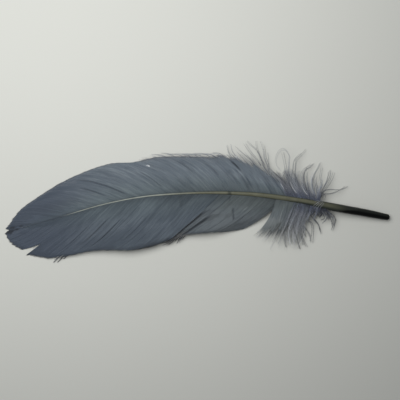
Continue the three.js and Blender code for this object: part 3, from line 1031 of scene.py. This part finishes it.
# single strands that curl out of the down, laid one by one
# each has its height at the root, arch, height at the tip, and the line it follows
upperStrands = dict(plumeShape, seed=79, barbuleLength=(0.3, 0.6), barbuleEvery=0.09, barbuleRadius=0.024,
                    stemRadius=(0.08, 0.035), tone=(-1.7, -0.2), bundle=2, bundleSpread=0.42, lines=[
    (5.2, 0.9, 4.4, [(43.5, 2), (42.2, 9), (42.3, 18.2), (42.6, 20.5), (41.7, 22.8), (40.3, 24.2),
                     (38.9, 24.2), (37.3, 22.8), (36.4, 20.5), (36.2, 18.2), (37.1, 15.9), (38.5, 14.7)]),
    (5.2, 1.2, 1.5, [(43.5, 2), (42.2, 10), (41.2, 15), (40.6, 19), (39.9, 22.8)]),
    (5.2, 1.5, 1.2, [(45, 2), (43.1, 9.1), (44.1, 15.9), (44.4, 18.9), (45.9, 21.2), (48.0, 22.7)]),
    (5.2, 1.5, 1.4, [(46, 2), (45.2, 9.1), (45.7, 16.8), (46.4, 19.4), (48.7, 21.7), (50.8, 23.9)]),
    (5.0, 1.2, 1.5, [(50, 1), (48.7, 7.9), (48.3, 12.1), (49.4, 14.9), (51.5, 16.3), (53.6, 18.0)]),
    (5.0, 1.2, 1.7, [(50.4, 1), (49.1, 7.9), (48.9, 12.3), (50.1, 14.7), (52.0, 15.9), (53.9, 17.7)]),
    (5.0, 1.8, 4.0, [(52, 1), (51.1, 6.5), (50.6, 10.3), (50.5, 13.1), (50.8, 14.9)]),
    (4.8, 1.4, 1.4, [(54, 0), (53.4, 5.6), (52.9, 9.8), (53.9, 13.1), (55.3, 15.6), (56.7, 18.3)]),
    (4.8, 1.4, 1.6, [(54.3, 0), (53.7, 5.6), (53.3, 9.6), (54.2, 12.9), (55.6, 15.2), (56.9, 17.9)]),
    (4.8, 1.0, 2.6, [(56, 0), (55.3, 5.6), (54.3, 9.8), (54.8, 11.7)]),
    (4.6, 1.2, 1.4, [(56, 0), (56.2, 3.7), (57.4, 7.9), (56.8, 11.2), (57.3, 14.0), (57.6, 15.9)]),
    (4.6, 1.2, 1.2, [(56.2, 0), (56.8, 3.3), (58.5, 6.8), (60.4, 9.8), (61.6, 12.1), (62.3, 15.2)]),
    (4.6, 1.2, 1.2, [(56.4, 0), (57.2, 3.3), (59.9, 7.0), (62.0, 10.3), (63.6, 13.8)]),
    (4.5, 1.6, 1.0, [(57, 0), (56.2, 2.3), (58.1, 5.1), (60.9, 5.8), (63.6, 5.6), (66.4, 5.9),
                     (69, 7.2)]),
    (4.5, 1.2, 1.0, [(57, -0.5), (56.7, 1.4), (58.5, 3.5), (61.3, 3.6), (64.1, 4.4), (66.9, 5.7),
                     (68.9, 7.1)]),
    (4.5, 1.2, 1.2, [(55.8, 0), (57.2, 4.4), (59.6, 9.0), (60.8, 12.4), (61.4, 14.8)]),
    (4.5, 1.0, 1.8, [(56.2, 0), (57.4, 4.4), (59.2, 3.6), (59.0, 1.8)]),
    (4.8, 1.2, 1.6, [(51, 1), (49.9, 7.6), (49.4, 12.2), (50.6, 15.6), (52.9, 16.6)]),
])

lowerStrands = dict(plumeShape, seed=83, barbuleLength=(0.35, 0.8), barbuleEvery=0.08,
                    barbuleRadius=0.027, stemRadius=(0.11, 0.06), tone=(-1.8, -0.7), bundle=2,
                    bundleSpread=0.4, lines=[
    (4.3, 0.9, 0.8, [(57.8, -2.3), (59.2, -3.7), (61.8, -5.8), (63.3, -8), (63.6, -10.3), (62.9, -12.9)]),
    (4.2, 0.9, 0.9, [(58.5, -2.6), (60.3, -4.2), (62.9, -6.2), (64.3, -8), (64.2, -9.1), (63.6, -11)]),
    (4.4, 0.7, 0.9, [(56.4, -2.1), (58.1, -4.2), (60.3, -6.5), (61.8, -8), (62.5, -9.9), (62.7, -11.8)]),
    (4.5, 0.6, 1.4, [(55.8, -1.9), (57.3, -3.9), (59.2, -5.8), (60.3, -7.1), (59.7, -8.4), (58.4, -9.9)]),
    (4.5, 0.6, 1.6, [(55.4, -1.9), (56.9, -4.3), (58.4, -6.5), (58.8, -8), (57.3, -8.8)]),
    (5.0, 0.8, 0.8, [(49.9, -0.5), (50.4, -3), (52.1, -5.8), (54, -8), (55.8, -9.9), (56.9, -12.1),
                     (57.5, -14.7)]),
    (5.0, 0.8, 0.9, [(50.4, -0.6), (51.2, -3.7), (52.8, -6.5), (54.7, -8.8), (56.2, -10.6), (56.7, -12.9)]),
    (4.8, 0.7, 0.8, [(49, -0.3), (49.4, -3.7), (50.2, -6.5), (51.7, -8.8), (53.2, -10.3), (53.8, -13.2),
                     (53.6, -15.9), (53.6, -19.2)]),
    (5.0, 0.7, 0.8, [(48, -0.1), (48.9, -3.3), (48.9, -6.2), (48.4, -8), (48.4, -10.3), (49.8, -12.5),
                     (51.3, -14.7), (52.3, -17), (52.3, -18.5)]),
    (5.0, 0.6, 0.8, [(47.1, 0.2), (47.1, -3.7), (46.9, -7.3), (47, -9.9), (48, -12.1), (49.3, -14),
                     (50.4, -16.2)]),
    (5.0, 0.6, 0.8, [(46.2, 0.3), (46.1, -3.3), (46.1, -6.5), (46.3, -9.1), (46.5, -11.8), (47.2, -14),
                     (48.4, -16.2), (49.8, -18.5), (51, -20.7)]),
    (5.1, 0.6, 0.8, [(44.8, 0.7), (44.3, -3.3), (44.3, -7.3), (44.4, -10.3), (45, -13.2), (46.1, -16.2),
                     (47, -19.2), (47.8, -21.3)]),
    (5.2, 0.6, 0.8, [(43.4, 0.9), (42.9, -2.8), (42.6, -6.5), (42.8, -9.5), (43.1, -12.5), (43.5, -15.5),
                     (43.7, -18.2)]),
    (5.2, 0.6, 0.8, [(42.4, 1), (41.6, -3.7), (41.2, -8.9), (40.9, -14), (40.7, -16.6), (40.9, -19.2),
                     (41.6, -21.1)]),
    (5.0, 0.6, 0.9, [(51.3, -0.7), (52.2, -3.3), (53.9, -5.4), (55, -6.8), (55.1, -8)]),
    (5.0, 0.6, 0.8, [(47.6, 0), (47.7, -4.2), (47.8, -7.9), (47.4, -11.2), (47.9, -14.5), (49.1, -17.7),
                     (49.4, -20.1)]),
])

# spikes that stand out of the lower edge near the tip
edgeStrands = dict(plumeShape, seed=113, barbuleLength=(0.03, 0.06), stemRadius=(0.34, 0.18),
                   tone=(-2.2, -1.8), lines=[
    (0.9, 0.0, 0.4, [(-62.6, -23.6), (-64.4, -25.4), (-67.2, -28.2)]),
    (0.9, 0.0, 0.4, [(-60.8, -23.8), (-63.0, -25.9), (-65.4, -28.2)]),
    (0.8, 0.0, 0.5, [(-59.8, -24.1), (-61.6, -25.8), (-62.6, -26.6)]),
])

# thin hairs swept back along the upper edge
edgeHairs = dict(plumeShape, seed=131, rings=20, barbuleLength=(0.12, 0.3), barbuleEvery=0.2,
                 outStart=2.0, stemRadius=(0.07, 0.03), tone=(-1.2, 0.8), bundle=3, bundleSpread=0.3,
                 lines=[
    (1.6, 0.4, 1.0, [(-14.2, 20.6), (-16.4, 21.4), (-18.8, 21.7), (-21.4, 21.6)]),
    (1.8, 0.4, 1.1, [(-6.0, 20.8), (-8.6, 21.9), (-11.4, 22.3), (-14.4, 22.2)]),
    (2.0, 0.4, 1.3, [(0.6, 20.8), (-1.6, 21.9), (-4.6, 22.5), (-8.0, 22.6)]),
    (2.2, 0.4, 1.4, [(6.0, 20.9), (3.8, 22.0), (1.0, 22.5), (-2.4, 22.5)]),
    (2.2, 0.3, 1.6, [(14.2, 19.0), (12.6, 20.9), (11.2, 22.0), (9.4, 22.8), (7.0, 23.0)]),
    (2.2, 0.3, 1.5, [(12.8, 19.8), (10.9, 21.6), (8.8, 22.6), (6.2, 22.5), (3.4, 22.1)]),
    (2.0, 0.4, 1.2, [(8.6, 20.8), (6.8, 21.9), (4.2, 22.4), (1.2, 22.1), (-1.2, 22.3)]),
    (1.8, 0.4, 1.0, [(3.0, 20.6), (1.4, 21.6), (-1.2, 22.2), (-3.8, 22.3), (-6.0, 22.1)]),
    (1.6, 0.4, 1.0, [(-2.6, 20.8), (-4.4, 21.8), (-6.4, 22.3), (-8.6, 22.7), (-10.4, 22.9)]),
    (1.6, 0.3, 1.0, [(-10.0, 20.8), (-12.0, 21.9), (-14.4, 22.7), (-16.8, 22.9)]),
])

# a soft tuft of barb ends at the split
splitTuft = dict(plumeShape, seed=127, barbuleLength=(0.25, 0.6), barbuleEvery=0.1, barbuleRadius=0.02,
                 stemRadius=(0.20, 0.05), tone=(-2.6, -1.6), bundle=2, bundleSpread=0.25, lines=[
    (2.6, 0.0, 1.2, [(-10, -16.1), (-11.9, -17.5), (-14, -18.9), (-15.9, -19.7)]),
    (2.6, 0.0, 1.1, [(-9.6, -15.9), (-11.1, -17.4), (-13.1, -18.9), (-14.7, -19.9)]),
    (2.6, 0.0, 1.2, [(-9.1, -15.7), (-10.5, -17.3), (-12, -18.7), (-13.5, -19.8)]),
    (2.6, 0.0, 1.3, [(-10.5, -15.9), (-12.6, -17.3), (-14.9, -18.6), (-16.8, -19.1)]),
    (2.5, 0.0, 1.4, [(-9.8, -15.3), (-11.2, -17), (-12.6, -18.1), (-14.2, -19.2)]),
    (2.5, 0.0, 1.5, [(-6.3, -14.4), (-7.5, -15.7), (-8.6, -17.4), (-9.7, -19.3)]),
    (2.5, 0.0, 1.5, [(-5.8, -14.4), (-6.7, -15.5), (-7.7, -16.9), (-8.9, -18.6)]),
    (2.4, 0.0, 1.5, [(-6.8, -14.5), (-8, -15.9), (-9.3, -17.3), (-10.4, -18.7)]),
    (2.4, 0.0, 1.4, [(-5.4, -14.5), (-6.2, -15.4), (-7, -16.5), (-8, -17.6)]),
    (2.5, 0.0, 1.4, [(-7.2, -14.7), (-8.6, -15.7), (-9.8, -16.9), (-10.7, -17.8)]),
])

# barb ends that stand up in a fan where the upper edge comes loose
upperSpikes = dict(plumeShape, seed=149, barbuleLength=(0.15, 0.4), barbuleEvery=0.14,
                   barbuleRadius=0.02, stemRadius=(0.11, 0.045), tone=(-1.7, -0.2), bundle=2,
                   bundleSpread=0.45, outStart=2.0, lines=[
    (1.6, 0.3, 1.6, [(18.7, 18.2), (16.9, 19.8), (15.1, 21.3), (13.8, 23.9), (13.2, 26.5)]),
    (1.7, 0.3, 1.8, [(21.7, 17.5), (20.1, 19), (17.7, 20.9), (15.8, 23.5), (15.1, 26.5)]),
    (1.8, 0.3, 1.6, [(28.2, 15.6), (26.8, 17.2), (24.6, 19.8), (22.3, 21.6), (20.1, 23.5), (18, 25.6)]),
    (1.9, 0.3, 1.8, [(29.6, 16.8), (27.9, 19.4), (24.9, 22.8), (23.1, 25.4), (22, 27.2)]),
    (2.0, 0.4, 1.9, [(31.5, 16.8), (29.6, 20.1), (28.5, 22.4), (27.2, 24.6), (24.9, 26.5), (23.1, 28.4)]),
    (2.1, 0.4, 2.0, [(32.2, 14.2), (30.5, 17.2), (29.6, 20.1), (28.5, 22.8), (27.7, 25.4), (27.4, 28)]),
    (2.3, 0.4, 2.0, [(34.3, 12.1), (33, 14.9), (32.4, 17.2), (31.1, 20.5), (30.7, 23.5), (30.2, 26.1),
                     (29.4, 28.4)]),
    (2.3, 0.4, 2.0, [(34.5, 12.1), (33.1, 14.9), (32.5, 17.3), (31.3, 20.5), (30.9, 23.3), (30.4, 25.6)]),
    (2.4, 0.4, 2.1, [(35.4, 10.7), (34.3, 12.7), (33.5, 14.9), (33, 17.9), (32.8, 20.5), (32.4, 23.1)]),
    (1.8, 0.2, 1.5, [(29.1, 14.9), (27.6, 16.8), (26.1, 17.9), (24.2, 19.8), (22.5, 21.3)]),
    (2.4, 0.2, 2.2, [(37.1, 9.8), (35.8, 11.2), (33.5, 13.1), (32, 14.9), (30.5, 17.5)]),
    (1.6, 0.2, 1.2, [(16.8, 18.9), (15.2, 19.8), (13.4, 20.5), (11.1, 22), (8.9, 22.8)]),
])

# bare stems coloured near white as a painted highlight, one of them over the shaft
highlightStrands = dict(plumeShape, seed=89, stemRadius=(0.15, 0.06), barbuleLength=(0.15, 0.3),
                   barbuleEvery=0.4, lines=[
    (5.6, 0.5, 4.6, [(17.6, 21.2), (18.7, 20.5), (20.2, 19.3), (21.9, 18.0)]),
    (6.8, 0.6, 7.4, [(45.6, 4.3), (44.5, 5.6), (43.6, 7.0), (42.7, 9.3)]),
    (6.6, 0.6, 7.2, [(50.7, 3.4), (49.9, 4.2), (49.2, 5.1), (47.8, 7.5)]),
    (6.4, 0.2, 6.2, [(40.4, 5.5), (39.5, 6.8), (38.4, 8.3)]),
])

# dark strands by the shaft: the down's own navy, darkened further as painted shade in its folds
foldShadeStrands = dict(plumeShape, seed=151, barbuleLength=(0.4, 0.9), barbuleEvery=0.12, barbuleRadius=0.02,
                   stemRadius=(0.14, 0.05), tone=(-2.2, -1.1), bundle=4, bundleSpread=0.38, outStart=-8.0,
                   lines=[
    (4.9, 0.4, 4.2, [(49.7, 3), (47.8, 5.4), (46.2, 7.7), (44.8, 9.8), (43.6, 11.7)]),
    (4.9, 0.5, 4.4, [(48.7, 3.3), (47.1, 5.6), (45.7, 7.7), (44.5, 9.6)]),
    (4.9, 0.4, 3.0, [(45.9, 3.5), (42.7, 6.8), (39.4, 9.8), (36.6, 12.6), (34.3, 14.7)]),
    (4.9, 0.6, 3.6, [(46.4, 3.5), (44.1, 7), (42.4, 10.7), (41.5, 13.3), (40.3, 14.7)]),
    (4.9, 0.6, 3.8, [(47.3, 3.3), (45.5, 6.5), (43.6, 9.8), (42.4, 12.6), (42, 14.7)]),
    (4.9, 0.5, 4.0, [(47.8, 3.3), (45.5, 6.1), (43.6, 8.4), (42.2, 10.7)]),
    (4.8, 0.5, 4.0, [(52, 2.1), (50.6, 4.2), (49.4, 6.5), (48.7, 8.9)]),
    (4.2, 0.2, 2.6, [(49.7, -0.5), (49.2, -2.1), (48, -4.2), (47.1, -5.8)]),
    (4.2, 0.2, 2.6, [(52, -1.2), (51.8, -2.8), (50.4, -4.9), (49.4, -6.5)]),
    (4.0, 0.2, 2.4, [(54.3, -1.9), (54.6, -3.5), (53.4, -5.1), (52.2, -6.3)]),
    (4.0, 0.2, 2.0, [(52.9, -1.4), (53.9, -3.3), (55.3, -4.9), (56, -6.5)]),
    (3.8, 0.2, 2.0, [(56.7, -2.3), (57.4, -4), (57.8, -5.6), (56.9, -7)]),
    (3.6, 0.2, 1.8, [(58.1, -2.8), (59.9, -4.4), (61.1, -6.1), (60.9, -7.9)]),
    (4.3, 0.3, 3.6, [(46.4, 0.5), (45.7, -0.7), (44.5, -1.9)]),
    (4.3, 0.3, 3.6, [(48.5, 0), (48, -1.2), (46.9, -2.6)]),
    (4.3, 0.3, 3.5, [(50.8, -0.7), (50.4, -1.9), (49.2, -3)]),
    (4.2, 0.3, 3.4, [(53.2, -1.2), (52.9, -2.3), (52, -3.7)]),
    (4.1, 0.3, 3.2, [(55.5, -1.6), (55.7, -2.8), (55.5, -4.2)]),
    (4.0, 0.3, 3.0, [(57.6, -2.1), (58.5, -3.3), (59, -4.7)]),
])

# fine strands that cross the shaft
crossingTuft = dict(plumeShape, seed=137, rings=20, stemRadius=(0.06, 0.03), barbuleLength=(0.3, 0.7),
                    barbuleEvery=0.12, barbuleRadius=0.016, outStart=8.0, tone=(-0.5, 0.5), lines=[
    (4.6, 2.15, 3.6, [(58.4, 0.6), (57.4, 0.0), (55.6, -1.0), (54.2, -2.6), (52.9, -4.4)]),
    (4.6, 2.25, 3.4, [(58.8, 0.2), (57.6, -0.5), (56.0, -1.8), (55.0, -3.4), (54.2, -5.2)]),
    (4.7, 2.15, 3.8, [(57.6, 0.8), (56.4, 0.2), (54.6, -0.8), (53.4, -2.0), (52.6, -3.4)]),
    (4.7, 2.05, 3.8, [(58.0, 0.9), (57.0, 0.6), (55.4, -0.2), (54.2, -1.2), (53.6, -2.4)]),
    (4.5, 2.35, 3.2, [(59.2, 0.0), (58.2, -0.8), (57.0, -2.2), (56.4, -3.8)]),
    (4.9, 1.95, 4.2, [(56.8, 1.2), (55.8, 0.6), (54.4, 0.2), (53.4, -0.8)]),
    (4.9, 0.8, 4.6, [(55.4, 1.0), (54.6, 2.8), (54.2, 4.8), (54.4, 6.6)]),
    (4.8, 0.9, 4.2, [(56.4, 0.8), (55.6, 2.6), (55.2, 4.4), (55.6, 6.0)]),
    (5.0, 0.8, 5.0, [(54.2, 1.2), (53.2, 3.4), (52.8, 5.6), (53.2, 7.8)]),
    (4.8, 0.7, 3.8, [(57.4, 0.6), (56.8, 1.8), (56.6, 3.4), (57.2, 4.8)]),
])


def strandCurves(plan):
    random = np.random.default_rng(plan["seed"])
    curves = []
    for rootHeight, arch, tipHeight, line in plan["lines"]:
        rough = readSpline(line, np.linspace(0, len(line) - 1, 80))
        travel = travelAlong(rough)
        v = np.linspace(0, 1, plan["rings"])
        flat = readLine(v * travel[-1], travel, rough)
        z = rootHeight + (tipHeight - rootHeight) * v**1.2 + arch * 4 * v * (1 - v)
        for _ in range(plan["bundle"]):
            lean = random.normal(0, plan["bundleSpread"], 3) * np.sqrt(v)[:, None]
            curves.append(np.column_stack([flat, z]) + lean)
    return np.array(curves)


# a pale fleck of fluff caught on the upper vane
fleck = {
    "seed": 97, "place": (-22.9, 16.8), "count": 26, "spread": (0.5, 0.16), "length": (0.35, 0.7),
    "heading": 156, "wander": 0.5, "above": 0.1, "layer": 0.15, "bow": 0.08,
}


def fleckCurves(upperCurves):
    random = np.random.default_rng(fleck["seed"])
    flat = upperCurves.reshape(-1, 3)
    nearest = flat[np.argmin(np.linalg.norm(flat[:, :2] - np.array(fleck["place"]), axis=-1))]
    count = fleck["count"]
    heading = np.radians(fleck["heading"])
    forward = np.array([np.cos(heading), np.sin(heading)])
    side = np.array([-np.sin(heading), np.cos(heading)])
    offset = random.normal(0, 1, (count, 2)) * np.array(fleck["spread"])
    middle = np.array(fleck["place"]) + offset[:, :1] * forward + offset[:, 1:] * side
    angle = heading + random.normal(0, fleck["wander"], count)
    half = 0.5 * random.uniform(*fleck["length"], count)
    way = np.stack([np.cos(angle), np.sin(angle)], axis=-1) * half[:, None]
    v = np.linspace(-1, 1, plumeShape["rings"])
    flatCurves = middle[:, None] + way[:, None] * v[None, :, None]
    z = nearest[2] + fleck["above"] + random.uniform(0, fleck["layer"], (count, 1))
    z = z + fleck["bow"] * (1 - v**2)[None]
    return np.concatenate([flatCurves, z[..., None]], axis=-1)


# fine ends that lean out over the upper edge, headings in degrees from +X
fringe = {
    "seed": 107, "roots": (-1.0, 27.0), "every": 2, "length": (1.6, 4.4), "heading": (150, 180),
    "rise": (0.1, 0.9), "rings": 16,
}


def fringeCurves(upperCurves):
    random = np.random.default_rng(fringe["seed"])
    low, high = fringe["roots"]
    chosen = np.flatnonzero((upperCurves[:, 0, 0] > low) & (upperCurves[:, 0, 0] < high))[::fringe["every"]]
    count = len(chosen)
    start = upperCurves[chosen, -3]
    way = unit(upperCurves[chosen, -1] - start)
    length = random.uniform(*fringe["length"], count)[:, None]
    angle = np.radians(random.uniform(*fringe["heading"], count))
    heading = np.stack([np.cos(angle), np.sin(angle), np.zeros(count)], axis=-1)
    second = start + 0.35 * length * way
    last = start + 0.3 * length * way + 0.8 * length * heading
    last[:, 2] += random.uniform(*fringe["rise"], count)
    third = last - 0.3 * length * heading
    v = np.linspace(0, 1, fringe["rings"])[None, :, None]
    return bezier(start[:, None], second[:, None], third[:, None], last[:, None], v)


# shaft: rachis between the vanes, then the bare quill with its rounded end

shaftShape = {"rings": 420, "sides": 28, "roundLength": 1.1, "flatTop": 0.9, "start": -79.0, "end": 89.5}


def makeShaft(material):
    shape = shaftShape
    bodyEnd = shape["end"] - shape["roundLength"]
    body = np.linspace(shape["start"], bodyEnd, shape["rings"])
    turn = np.linspace(0, math.pi / 2, 9)[1:-1]
    x = np.concatenate([body, bodyEnd + shape["roundLength"] * np.sin(turn)])
    centre, forward, radius = shaftAt(x)
    radius = radius * np.concatenate([np.ones(len(body)), np.cos(turn)])
    sideways = unit(np.cross([0, 0, 1.0], forward))
    above = np.cross(forward, sideways)
    angle = np.linspace(0, 2 * math.pi, shape["sides"], endpoint=False)
    across = np.cos(angle)
    high = np.sin(angle) * np.where(np.sin(angle) > 0, shape["flatTop"], 1.0) * shaftPlan["depthRatio"]
    points = (centre[:, None] + sideways[:, None] * (radius[:, None] * across[None])[..., None]
              + above[:, None] * (radius[:, None] * high[None])[..., None])
    quads, rootCap, tipCap = ringFaces(1, len(x), shape["sides"], turned=True)
    v = (x - x[0]) / (x[-1] - x[0])
    around = np.arange(shape["sides"] + 1) / shape["sides"]
    ringIndex, sideIndex = np.divmod(quads, shape["sides"])
    first = np.arange(len(quads)) % shape["sides"]
    u = np.where(sideIndex == first[:, None], around[first][:, None], around[first + 1][:, None])
    uv = np.stack([u, v[ringIndex]], axis=-1)
    capUv = np.stack([0.5 + 0.01 * np.cos(angle), 0.5 + 0.01 * np.sin(angle)], axis=-1)[None]
    part = {
        "points": points.reshape(-1, 3),
        "faces": [(quads, uv), (rootCap, capUv * 0.02), (tipCap, 1 - capUv * 0.02)],
        "values": {"across": spreadOver(across[None], (len(x), len(across)))},
    }
    makePiece("quillAndRachis", [part], material, "quill", "shaft")


# build

vaneMaterial = makeVaneMaterial()
downMaterial = makeDownMaterial()
paleAndHighlightMaterial = makePaleAndHighlightMaterial()
quillMaterial = makeQuillMaterial()
print("materials are made")

makeShaft(quillMaterial)


def makeVane(name, node, *sheets):
    makePiece(name, [sheet["part"] for sheet in sheets], vaneMaterial, "vane", node)


upperSheet = vaneSheet(upperVane)
stripSheet = vaneSheet(lowerStrip)
softSheet = vaneSheet(lowerSoftVane)
makeVane("upperVane", "vane_upper", upperSheet)
makeVane("lowerTipVane", "vane_lower_tip", vaneSheet(lowerTipVane))
makeVane("lowerRearVane", "vane_lower_rear", stripSheet, vaneSheet(lowerRearVane))
makeVane("lowerSoftVane", "down_lower", softSheet)
print("vanes are made")


def makeDown(name, plan, curves, *nodes, material=downMaterial):
    random = np.random.default_rng(plan["seed"] + 1000)
    makePiece(name, plumeParts(curves, plan, random), material, "down", *nodes)


def grow(name, plan, *nodes):
    makeDown(name, plan, plumeCurves(plan, np.random.default_rng(plan["seed"])), *nodes)


def lay(name, plan, *nodes, material=downMaterial):
    makeDown(name, plan, strandCurves(plan), *nodes, material=material)


endShape = dict(plumeShape, seed=101, rings=16, stemRadius=(0.03, 0.02), barbuleLength=(0.25, 0.6),
                barbuleEvery=0.13, bareRoot=0.0, outStart=7.0)
upperEnds = np.concatenate([upperSheet["ends"], fringeCurves(upperSheet["curves"])])
lowerEnds = np.concatenate([softSheet["ends"], stripSheet["ends"]])
grow("upperFluff", upperFluff, "down_upper")
grow("upperClump", upperClump, "down_upper")
grow("upperPlumes", upperPlumes, "down_upper")
lay("upperStrands", upperStrands, "down_upper")
makeDown("upperLooseEnds", endShape, upperEnds, "vane_upper")
grow("lowerFluff", lowerFluff, "down_lower")
grow("lowerPlumes", lowerPlumes, "down_lower")
lay("lowerStrands", lowerStrands, "down_lower")
makeDown("lowerLooseEnds", endShape, lowerEnds, "down_lower")
lay("edgeStrands", edgeStrands, "vane_lower_tip")
lay("edgeHairs", edgeHairs, "vane_upper")
lay("splitTuft", splitTuft, "vane_lower_rear")
lay("upperSpikes", upperSpikes, "vane_upper")
lay("foldShadeStrands", foldShadeStrands, "down_upper", "down_lower")
grow("lowerHaze", lowerHaze, "down_lower")
lay("crossingTuft", crossingTuft, "down_upper", "down_lower")
lay("highlightStrands", highlightStrands, "down_upper", material=paleAndHighlightMaterial)
fleckShape = dict(plumeShape, seed=103, stemRadius=(0.07, 0.05), barbuleLength=(0.05, 0.12),
                  barbuleEvery=0.12)
makeDown("paleFleck", fleckShape, fleckCurves(upperSheet["curves"]), "vane_upper", material=paleAndHighlightMaterial)
print("down is made")


# floor, light and camera

studio = {
    "floorSize": 3.0,
    "floorColour": (0.585, 0.59, 0.55),
    "floorScale": 6.0,
    "keyPlace": (-0.09, 0.125, 0.27),
    "keyAim": (-0.12, 0.145, 0.0),
    "keySize": 0.36,
    "keyPower": 1.13,
    "fillColour": (0.93, 0.96, 1.0),
    "fillStrength": 0.20,
    "cameraHeight": 0.5,
    "cameraAim": (0.00076, 0.00058),
    "frameWidth": 0.1865,
    "viewLevel": 0.001,
}


def makeStudio():
    scene = bpy.context.scene
    half = studio["floorSize"] / 2
    mesh = bpy.data.meshes.new("floor")
    corners = [(-half, -half, 0), (half, -half, 0), (half, half, 0), (-half, half, 0)]
    mesh.from_pydata(corners, [], [(0, 1, 2, 3)])
    floor = bpy.data.objects.new("floor", mesh)
    scene.collection.objects.link(floor)
    material, shader, start = newMaterial("paleFloor", {"Roughness": 0.9, "Specular IOR Level": 0.1})
    soft = 1.0 + 0.02 * (noiseAt(objectPlace(start), studio["floorScale"]) - 0.5)
    feed(shader, "Base Color", soft.shade(studio["floorColour"]))
    mesh.materials.append(material)
    key = bpy.data.lights.new("key", "AREA")
    key.shape = "DISK"
    key.size = studio["keySize"]
    key.energy = studio["keyPower"]
    lamp = bpy.data.objects.new("key", key)
    lamp.location = studio["keyPlace"]
    aim = Vector(studio["keyAim"]) - lamp.location
    lamp.rotation_euler = aim.to_track_quat("-Z", "Y").to_euler()
    scene.collection.objects.link(lamp)
    world = bpy.data.worlds.new("softRoom")
    world.use_nodes = True
    background = world.node_tree.nodes["Background"]
    background.inputs["Color"].default_value = (*studio["fillColour"], 1.0)
    background.inputs["Strength"].default_value = studio["fillStrength"]
    scene.world = world
    scene.view_settings.view_transform = "Standard"
    camera = bpy.data.cameras.new("camera")
    camera.sensor_width = 36.0
    distance = studio["cameraHeight"] - studio["viewLevel"]
    camera.lens = camera.sensor_width * distance / studio["frameWidth"]
    camera.clip_start = 0.01
    eye = bpy.data.objects.new("camera", camera)
    eye.location = (*studio["cameraAim"], studio["cameraHeight"])
    scene.collection.objects.link(eye)
    scene.camera = eye


makeStudio()
print("studio is made")
